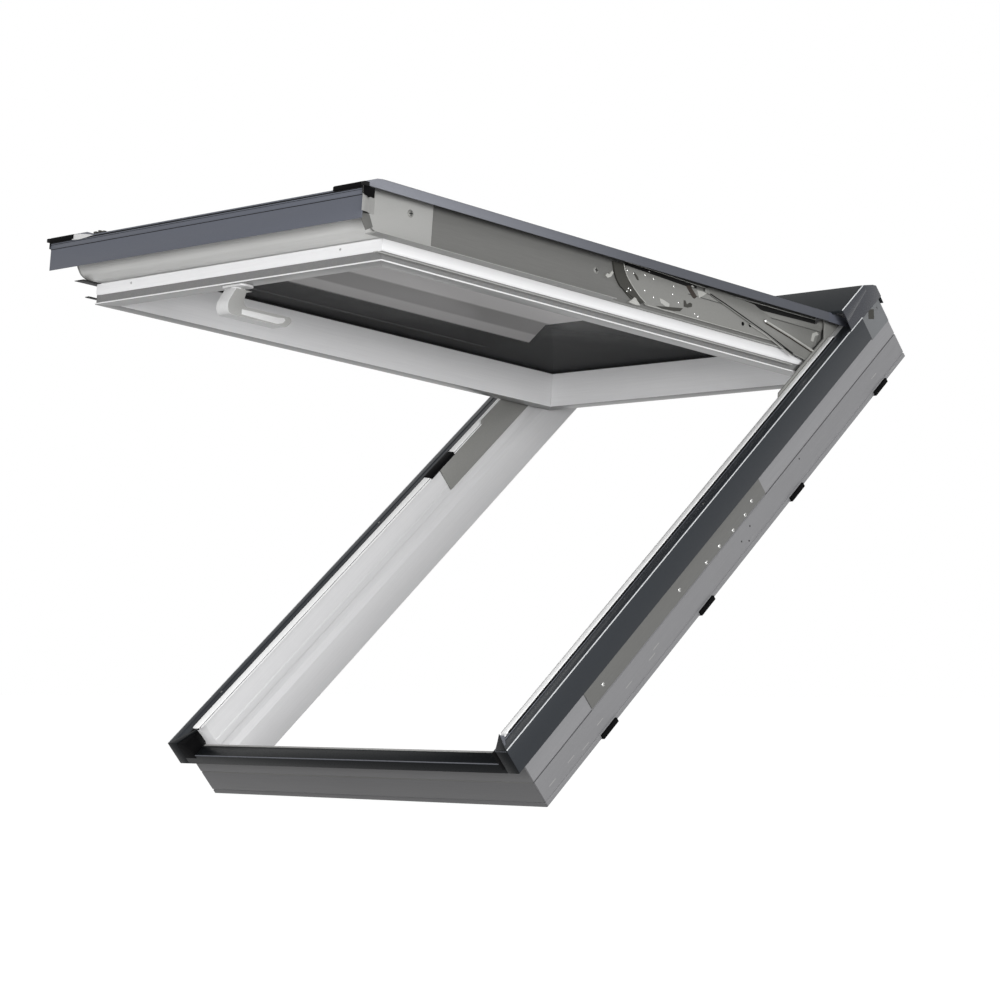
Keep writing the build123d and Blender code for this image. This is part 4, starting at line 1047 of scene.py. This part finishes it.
@dataclass
class SashCasing(Group):
    """The open sash: plastic rails and stiles, glazing, foot profile, skirt and covers."""

    half: float = 342.5
    foot_v: float = 47.5
    head_v: float = 1131.5
    groove: Pair = (51.6, 64.8)
    groove_depth: float = 2.4
    groove_inner: float = 6.0
    band_screws: Sequence[float] = (-250.0, 250.0)
    fastener_places: Sequence[Triple] = ((347.0, 95.0, 129.0), (346.0, 503.0, 125.0))

    def build(self) -> None:
        """Makes and dresses the sash's pieces."""
        for node, run in (
            ("sash_bottom_rail", Run.ACROSS),
            ("sash_top_rail", Run.ACROSS),
            ("sash_left_stile", Run.SASH),
            ("sash_right_stile", Run.SASH),
        ):
            self.cad(node, SASH_PROFILE, "white_plastic", run, 0.8)
        self.cad("glazing_unit", DARK_GLASS, "glazing", Run.ACROSS, 0.3)
        self.cad("glazing_end_seals", DARK_RUBBER_AND_SHADE, "dark_seal", Run.ACROSS, 0.3)
        self.cad("glazing_side_seals", DARK_RUBBER_AND_SHADE, "dark_seal", Run.SASH, 0.3)
        self.cad("sash_foot_profile", GREY_PROFILE, "grey_plastic", Run.ACROSS, 0.3)
        self.cad("foot_ends", END_PLASTIC, "grey_plastic", Run.SASH, 0.6)
        self.lip_seals()
        self.cad("sash_skirt", SASH_SHEET, "dark_metal", Run.ACROSS, 0.4)
        self.cad("sash_top_cover", SASH_SHEET, "dark_metal", Run.ACROSS, 0.4)
        self.cad("cover_caps", BLACK_PLASTIC, "black_plastic", Run.SASH, 1.2)
        self.cad("corner_blocks", BLACK_PLASTIC, "black_plastic", Run.SASH, 0.8)
        for side in ("left", "right"):
            self.cad(f"{side}_sash_plate", SIDE_SHEET, "side_metal", Run.SASH, 0.3)
            self.cad(f"{side}_side_cover", SHADED_COVER_SHEET, "dark_metal", Run.SASH, 0.6)
        tails = bmesh.new()
        tail = [(1062.0, 143.8), (1062.0, 159.6), (1119.0, 158.4), (1133.0, 142.0)]
        self.flats(tails, SASH, tail, 370.8, 373.3)
        self.piece("side_cover_tails", tails, SASH_SHEET, "dark_metal", Run.SASH)
        self.groove_seals()
        self.fasteners()
        self.chins()
        self.skirt_lines()

    def lip_seals(self) -> None:
        """The lip seals: grey on the right side, and dark on the left side as painted shade on their shaded
        undersides.
        """
        self.cad("side_lip_seals", DARK_RUBBER_AND_SHADE, "dark_seal", Run.SASH, 0.0)
        mesh = bpy.data.objects["side_lip_seals_dressed"].data
        mesh.materials.append(END_PLASTIC.material(Run.SASH))
        for face in mesh.polygons:
            face.material_index = int(face.center.x > 0)

    def chins(self) -> None:
        """Slanting walls that join the skirt's ends to the sides of the foot, and a patch of painted shade in
        the right one's hollow.
        """
        bm = bmesh.new()
        path = (
            (375.2, -27.4, 105.0), (371.0, -17.0, 106.4), (364.0, -6.5, 108.6), (355.5, 4.0, 110.4),
            (347.6, 13.5, 112.0), (347.6, 22.0, 112.0),
        )
        top, thick = 141.5, 1.4
        for side in (-1, 1):
            rings = []
            for x, v, low in path:
                if side < 0:
                    x, v = min(x, 373.0), max(v, -23.0)
                inner, back = x - thick, v + thick
                wall = ((x, v, low), (x, v, top), (inner, back, top), (inner, back, low))
                rings.append([SASH.point(side * px, pv, w) for px, pv, w in wall])
            self.sweep(bm, rings)
        self.piece("foot_chins", bm, END_PLASTIC, "grey_plastic", Run.SASH, smooth=50.0)
        corner = bmesh.new()
        hollow = [(-6.5, 112.6), (12.5, 111.9), (22.0, 93.1), (8.0, 86.0), (-2.0, 101.0)]
        self.strip(corner, SASH, hollow, 346.6, 347.7)
        rounded(corner, 0.2)
        self.piece("flank_hollows", corner, HOLLOW_SHADE, "grey_plastic", Run.SASH)

    def skirt_lines(self) -> None:
        """Painted shade along the skirt's fold and edge lines and at its ends, the light strip between them, a
        painted highlight on the cover's nose and a clip on its edge.
        """
        dark, light, clip = bmesh.new(), bmesh.new(), bmesh.new()
        for v, low, high in ((-25.0, 128.3, 129.9), (-26.5, 135.8, 136.4), (-26.5, 138.2, 140.0)):
            self.strip(dark, SASH, box(v - 0.3, v + 0.2, low, high), -373.5, 373.5)
        self.strip(light, SASH, box(-26.8, -26.3, 140.3, 142.2), -373.5, 373.5)
        for x in (-380.5, 380.5):
            tip = [(-29.4, 141.2), (-29.4, 147.0), (-20.0, 147.4), (-20.0, 141.2)]
            self.strip(dark, SASH, tip, x, x - math.copysign(7.5, x))
        # painted highlight on the cover's nose
        patch = [(-323.6, 145.1), (-313.2, 147.2), (-294.6, 146.3), (-273.2, 143.3)]
        patch += [(-259.7, 140.6), (-277.7, 138.6), (-296.0, 137.4), (-314.7, 138.6)]
        bright = bmesh.new()
        self.sweep(bright, [[SASH.point(x, v, w) for x, w in patch] for v in (-27.6, -26.3)])
        self.piece("cover_nose_shine", bright, WHITE_COAT_AND_HIGHLIGHT, "dark_metal")
        for low, high, top in ((-262.0, -255.0, 146.5), (-250.0, -246.0, 147.5), (-243.0, -234.0, 145.5)):
            self.strip(clip, SASH, box(-26.0, -20.0, 141.0, top), low, high)
        self.piece("skirt_dark_lines", dark, RECESS_SHADE, "dark_metal")
        self.piece("skirt_light_strip", light, SASH_SHEET, "dark_metal")
        rounded(clip, 0.8)
        self.piece("skirt_clip", clip, DARK_STEEL_AND_SHADE, "fitting_metal")

    def groove_seals(self) -> None:
        """Grey seal that lies in the groove round the sash's outer edge."""
        bm = bmesh.new()
        low, high = self.groove
        depth, inner = self.groove_depth, self.groove_inner
        for side in (-1, 1):
            outline = box(side * (self.half - depth), side * (self.half - inner), low, high)
            self.rail(bm, SASH, outline, self.foot_v + depth + 0.5, self.head_v - depth - 0.5)
        for v, way in ((self.foot_v, 1), (self.head_v, -1)):
            outline = box(v + way * depth, v + way * inner, low, high)
            self.strip(bm, SASH, outline, depth - self.half, self.half - depth)
        for side in (-1, 1):
            corner = box(self.foot_v + 2.2, self.foot_v + 14.0, low, high)
            self.strip(bm, SASH, corner, side * (self.half - 9.0), side * (self.half - 2.2))
        self.piece("groove_seals", bm, GROOVE_SEAL, "light_seal", Run.SASH)

    def fasteners(self) -> None:
        """Small screws in the foot's band and round fasteners on the sides."""
        way = SASH.direction(0, -1, 0)
        spots = [(SASH.point(x, self.foot_v + 1.0, 76.0), way) for x in self.band_screws]
        Heads(radius=2.6, height=0.5).lay("band_screws", spots, WHITE_COAT_AND_HIGHLIGHT, "white_plastic")
        sides = self.outward(SASH, self.fastener_places)
        Heads(radius=6.0, height=1.4).lay("side_fasteners", sides, PLATED_STEEL, "fitting_metal")


@dataclass
class Mechanism(Group):
    """Arms, pivot plates, guides and struts on both sides of the sash."""

    face: float = 349.0
    pin_places: Outline = ((864.0, 105.0), (883.0, 106.0))
    rod_x: float = 353.0
    rod_path: Outline = ((917.0, 119.6), (983.0, 106.2), (1049.0, 91.0))
    plate_screws: Sequence[Pair] = (
        (573.0, 138.5), (588.0, 137.0), (616.0, 139.0), (625.0, 147.0), (637.0, 137.0), (687.0, 134.0),
        (685.0, 121.0), (617.0, 114.0), (639.0, 107.0), (578.0, 110.0), (575.0, 105.0), (583.0, 108.0),
        (742.0, 99.0), (700.0, 110.0), (750.0, 96.0),
    )
    slot: Sequence[Pair] = (
        (537.5, 147.0), (540.5, 137.0), (544.0, 127.0), (550.0, 118.0), (558.0, 110.0), (572.0, 103.0),
        (588.0, 98.0), (604.0, 93.5), (619.0, 93.5), (604.0, 101.0), (589.0, 112.0), (579.0, 120.5),
        (571.0, 129.0), (565.5, 138.0), (562.0, 147.0),
    )

    def build(self) -> None:
        """Makes and dresses the fittings."""
        for side in ("left", "right"):
            self.cad(f"{side}_hinge_arm", PLATED_STEEL, "fitting_metal", Run.SASH, 0.4)
            self.cad(f"{side}_strut", PLATED_STEEL, "fitting_metal", Run.SASH, 0.4)
        self.cad("pivot_plates", PLATED_STEEL, "fitting_metal", Run.SASH, 0.4)
        self.cad("pivot_guides", DARK_STEEL_AND_SHADE, "fitting_metal", Run.SASH, 0.4)
        spots = self.outward(SASH, [(self.face, v, w) for v, w in self.plate_screws])
        Heads(radius=1.9, height=0.9).lay("pivot_screws", spots, BRIGHT_STEEL, "fitting_metal")
        self.shades()
        self.highlit_places()
        self.rods()

    def shades(self) -> None:
        """Painted shade and shadow in the slots, gaps and folds in and between the fittings."""
        face = self.face
        dark, brown, black = bmesh.new(), bmesh.new(), bmesh.new()
        self.flats(dark, SASH, self.slot, face - 2.8, face + 0.4)
        hook = [(585.5, 137.0), (590.0, 137.5), (598.0, 132.5)]
        hook += [(600.5, 127.5), (596.5, 127.0), (592.0, 131.5)]
        gap = [(566.0, 150.6), (568.0, 146.0), (650.0, 143.0), (718.0, 140.0)]
        gap += [(742.0, 141.0), (742.0, 146.0), (650.0, 148.8)]
        wedge = [(846.0, 144.5), (864.0, 142.3), (915.0, 136.5)]
        wedge += [(1013.0, 138.8), (1056.0, 139.5), (1056.0, 146.0)]
        shadow = [(645.0, 94.0), (679.0, 98.5), (711.0, 102.5), (704.0, 96.0), (690.0, 93.8), (660.0, 92.0)]
        recess = [(712.0, 116.0), (716.0, 116.5), (720.0, 110.5), (727.0, 115.0)]
        recess += [(733.0, 114.0), (733.0, 109.0), (722.0, 105.5), (713.0, 105.5)]
        for outline in (hook, shadow, recess):
            self.flats(dark, SASH, outline, face - 0.2, face + 0.5)
        self.flats(black, SASH, gap, face - 0.2, face + 0.5)
        self.flats(black, SASH, wedge, face - 2.8, face + 0.3)
        fold = [(715.0, 141.0), (725.0, 143.0), (744.0, 128.0), (738.0, 123.5), (733.0, 125.0)]
        self.flats(brown, SASH, fold, face, face + 0.7)
        under = [(772.0, 140.0), (817.0, 129.5), (866.0, 116.5), (923.5, 101.2), (997.0, 79.0)]
        under += [(997.0, 76.6), (923.5, 99.0), (866.0, 114.3), (817.0, 127.3), (772.0, 137.8)]
        self.flats(black, SASH, under, face + 0.1, face + 2.7)
        self.piece("fitting_gaps", black, RECESS_SHADE, "fitting_metal", Run.SASH)
        sheet = bmesh.new()
        plate = [(568.0, 145.5), (566.5, 140.0), (571.5, 130.0), (579.5, 121.2), (589.5, 112.6)]
        plate += [(604.5, 101.8), (620.0, 94.2), (722.0, 94.2), (722.0, 128.0), (718.0, 139.5), (650.0, 142.5)]
        self.flats(sheet, SASH, plate, face - 2.8, face + 0.1)
        self.piece("pivot_faces", sheet, PLATED_STEEL, "fitting_metal", Run.SASH)
        self.piece("fitting_slots", dark, DARK_STEEL_AND_SHADE, "fitting_metal", Run.SASH)
        self.piece("fitting_folds", brown, BROWN_SHADE, "fitting_metal", Run.SASH)
        pins = self.outward(SASH, [(face + 0.2, v, w) for v, w in self.pin_places])
        Heads(radius=3.4, height=1.2, crossed=False).lay("strut_pins", pins, BLACK_PLASTIC, "black_plastic")

    def highlit_places(self) -> None:
        """Painted highlights: bright rims, tabs and the lighter plates where they catch the light."""
        face = self.face
        bm = bmesh.new()
        guide = [(563.0, 147.0), (566.5, 138.5), (572.0, 129.6), (580.0, 121.3)]
        guide += [(590.0, 112.8), (605.0, 102.0), (620.0, 94.4)]
        for path, x, radius in (
            (guide, face + 0.3, 0.7),
            (((566.0, 151.6), (650.0, 149.8), (742.0, 147.0), (860.0, 146.3), (1056.0, 147.2)), face, 0.7),
            (((880.0, 107.0), (923.5, 96.3), (997.0, 73.5)), face + 1.6, 0.9),
            (((625.0, 91.5), (800.0, 91.0), (960.0, 91.0)), face - 0.4, 0.6),
        ):
            self.piped(bm, SASH, path, x, radius)
        hooked = [(522.0, 119.5), (527.0, 117.0), (534.0, 120.0), (540.0, 128.0)]
        hooked += [(536.0, 130.5), (530.0, 123.0), (525.0, 124.0)]
        foot_tab = [(1046.0, 109.0), (1049.0, 122.0), (1060.0, 127.0)]
        foot_tab += [(1066.0, 123.0), (1056.0, 119.0), (1052.0, 108.0)]
        tabs = (
            [(579.0, 87.5), (586.0, 92.5), (592.0, 98.0), (596.0, 97.0), (607.0, 87.5), (598.0, 86.3)],
            [(652.0, 108.0), (660.0, 107.2), (677.0, 103.6), (676.5, 98.2), (668.0, 97.5), (656.0, 101.0)],
            [(743.0, 138.5), (771.0, 139.8), (749.0, 126.5)],
            [(727.0, 142.8), (731.0, 144.5), (736.0, 142.0), (731.0, 141.0)],
            hooked,
            foot_tab,
        )
        for outline in tabs:
            self.flats(bm, SASH, outline, face - 2.8, face + 0.9)
        self.piece("bare_rims", bm, HIGHLIT_STEEL, "fitting_metal", Run.SASH)

    def rods(self) -> None:
        """Rod along each strut, lightened as painted highlight, with a painted shadow line under it and a ball
        at its lower end.
        """
        bm, dark = bmesh.new(), bmesh.new()
        self.piped(bm, SASH, self.rod_path, self.rod_x, 1.9)
        self.piped(dark, SASH, [(v + 2.0, w - 3.2) for v, w in self.rod_path], self.rod_x - 0.8, 1.0)
        self.piece("strut_rods", bm, HIGHLIT_STEEL, "fitting_metal", Run.SASH)
        self.piece("strut_rod_gaps", dark, BROWN_SHADE, "fitting_metal", Run.SASH)
        balls = self.outward(SASH, [(self.rod_x + 0.2, 918.0, 119.6)])
        heads = Heads(radius=3.4, height=2.4, crossed=False)
        heads.lay("strut_rod_balls", balls, BRIGHT_STEEL, "fitting_metal")


@dataclass
class Handle(Group):
    """The hooked lever and its plate at the foot of the sash."""

    def build(self) -> None:
        """Makes and dresses the handle."""
        self.cad("handle_plate", WHITE_COAT_AND_HIGHLIGHT, "white_handle", Run.ACROSS, 1.0)
        HandleLever().build()


@dataclass
class HandleLever(Group):
    """The lever, which turns on the plate."""

    body = "handle"

    def build(self) -> None:
        """Makes and dresses the lever, with painted shade greying its flat sides and painted highlights on the
        grip's sides.
        """
        self.cad("handle_lever", WHITE_COAT_AND_HIGHLIGHT, "white_handle", Run.ACROSS, 1.2)
        mesh = bpy.data.objects["handle_lever_dressed"].data
        mesh.materials.append(HANDLE_SIDE_SHADE.material())
        for face in mesh.polygons:
            face.material_index = int(abs(face.normal.x) > 0.95)
        # painted highlight: white bars on the grip's greyed sides
        bar = bmesh.new()
        outline = [(64.0, 10.8), (88.5, 11.4), (136.2, 11.2), (150.8, 12.7), (153.3, 9.5)]
        outline += [(148.6, 4.4), (137.1, 1.1), (89.5, 2.0), (64.0, 2.9)]
        for side in (-1, 1):
            self.strip(bar, SASH, outline, side * 13.6, side * 14.3)
        rounded(bar, 0.2)
        self.piece("grip_bars", bar, WHITE_COAT_AND_HIGHLIGHT, "white_handle")


@dataclass
class Studio:
    """Floor, sky, lamps and camera."""

    floor_z: float = -0.016
    floor_reach: float = 60.0
    lens: float = 101.27
    place: Triple = (3.326397, -3.107113, 0.161347)
    right: Triple = (0.71320, 0.70096, 0.00283)
    up: Triple = (0.04539, -0.05020, 0.99771)
    forward: Triple = (-0.69949, 0.71144, 0.06762)

    def build(self) -> None:
        """Sets the stage."""
        self.sky()
        self.floor()
        self.lamp("side lamp", (5.0, -1.0, 0.7), (3.0, 1.35), 190.0)
        self.lamp("front lamp", (0.6, -5.0, 1.0), (3.0, 1.9), 138.0)
        self.camera()
        bpy.context.scene.view_settings.view_transform = "Standard"

    def sky(self) -> None:
        """White for the eye and for mirrors, and a softer grey that lights the object."""
        world = bpy.data.worlds.new("studio sky")
        bpy.context.scene.world = world
        world.use_nodes = True
        tree = world.node_tree
        tree.nodes.clear()
        path = add_node(tree, "ShaderNodeLightPath").outputs
        seen = path["Is Camera Ray"]
        for other in ("Is Glossy Ray", "Is Transmission Ray"):
            seen = add_node(tree, "ShaderNodeMath", {0: seen, 1: path[other]}, operation="MAXIMUM").outputs[0]
        strength = add_node(
            tree, "ShaderNodeMapRange", {"Value": seen, "To Min": 0.36, "To Max": 1.0}
        ).outputs[0]
        light = add_node(tree, "ShaderNodeBackground", {"Color": (1, 1, 1, 1), "Strength": strength})
        add_node(tree, "ShaderNodeOutputWorld", {"Surface": light.outputs[0]})

    def floor(self) -> None:
        """Pale floor, which keeps a soft shadow."""
        bm = bmesh.new()
        reach = self.floor_reach
        around = ((-reach, -reach), (reach, -reach), (reach, reach), (-reach, reach))
        bm.faces.new([bm.verts.new((x, y, self.floor_z)) for x, y in around])
        mesh = bpy.data.meshes.new("studio_floor")
        bm.to_mesh(mesh)
        bm.free()
        made = bpy.data.objects.new("studio_floor", mesh)
        bpy.context.scene.collection.objects.link(made)
        surface = bpy.data.materials.new("pale floor")
        surface.use_nodes = True
        tree = surface.node_tree
        tree.nodes.clear()
        path = add_node(tree, "ShaderNodeLightPath").outputs
        seen = add_node(
            tree, "ShaderNodeMath", {0: path["Is Camera Ray"], 1: path["Is Glossy Ray"]}, operation="MAXIMUM"
        ).outputs[0]
        share = add_node(tree, "ShaderNodeMapRange", {"Value": seen, "To Min": 0.0, "To Max": 0.8}).outputs[0]
        matt = add_node(tree, "ShaderNodeBsdfDiffuse", {"Color": (0.5, 0.5, 0.5, 1)}).outputs[0]
        white = add_node(tree, "ShaderNodeEmission", {"Color": (1, 1, 1, 1), "Strength": 1.23}).outputs[0]
        mix = add_node(tree, "ShaderNodeMixShader", {0: share, 1: matt, 2: white}).outputs[0]
        add_node(tree, "ShaderNodeOutputMaterial", {"Surface": mix})
        mesh.materials.append(surface)

    def lamp(self, name: str, place: Triple, size: Pair, power: float) -> None:
        """Adds a large soft lamp that faces the window.

        Args:
            name: its name.
            place: where it hangs, in metres.
            size: width and height of its face, in metres.
            power: its power, in watts.
        """
        data = bpy.data.lights.new(name, "AREA")
        data.shape = "RECTANGLE"
        data.size, data.size_y = size
        data.energy = power
        made = bpy.data.objects.new(name, data)
        made.location = place
        aim = Vector((0.0, 0.2, 0.45)) - Vector(place)
        made.rotation_euler = aim.to_track_quat("-Z", "Y").to_euler()
        bpy.context.scene.collection.objects.link(made)

    def camera(self) -> None:
        """Camera at the photograph's place and angle."""
        data = bpy.data.cameras.new("studio camera")
        data.lens = self.lens
        data.sensor_width = 36.0
        data.clip_end = 200.0
        made = bpy.data.objects.new("studio camera", data)
        axes = (Vector(self.right), Vector(self.up), -Vector(self.forward))
        turn = Matrix([axis.normalized() for axis in axes]).transposed().to_4x4()
        made.matrix_world = Matrix.Translation(self.place) @ turn
        bpy.context.scene.collection.objects.link(made)
        bpy.context.scene.camera = made


def main() -> None:
    """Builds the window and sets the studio."""
    logging.basicConfig(level=logging.INFO, format="%(name)s: %(message)s")
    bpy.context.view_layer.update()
    for group in (FrameCasing(), Cladding(), SashCasing(), Mechanism(), Handle()):
        group.build()
    Studio().build()


if __name__ == "__main__":
    main()
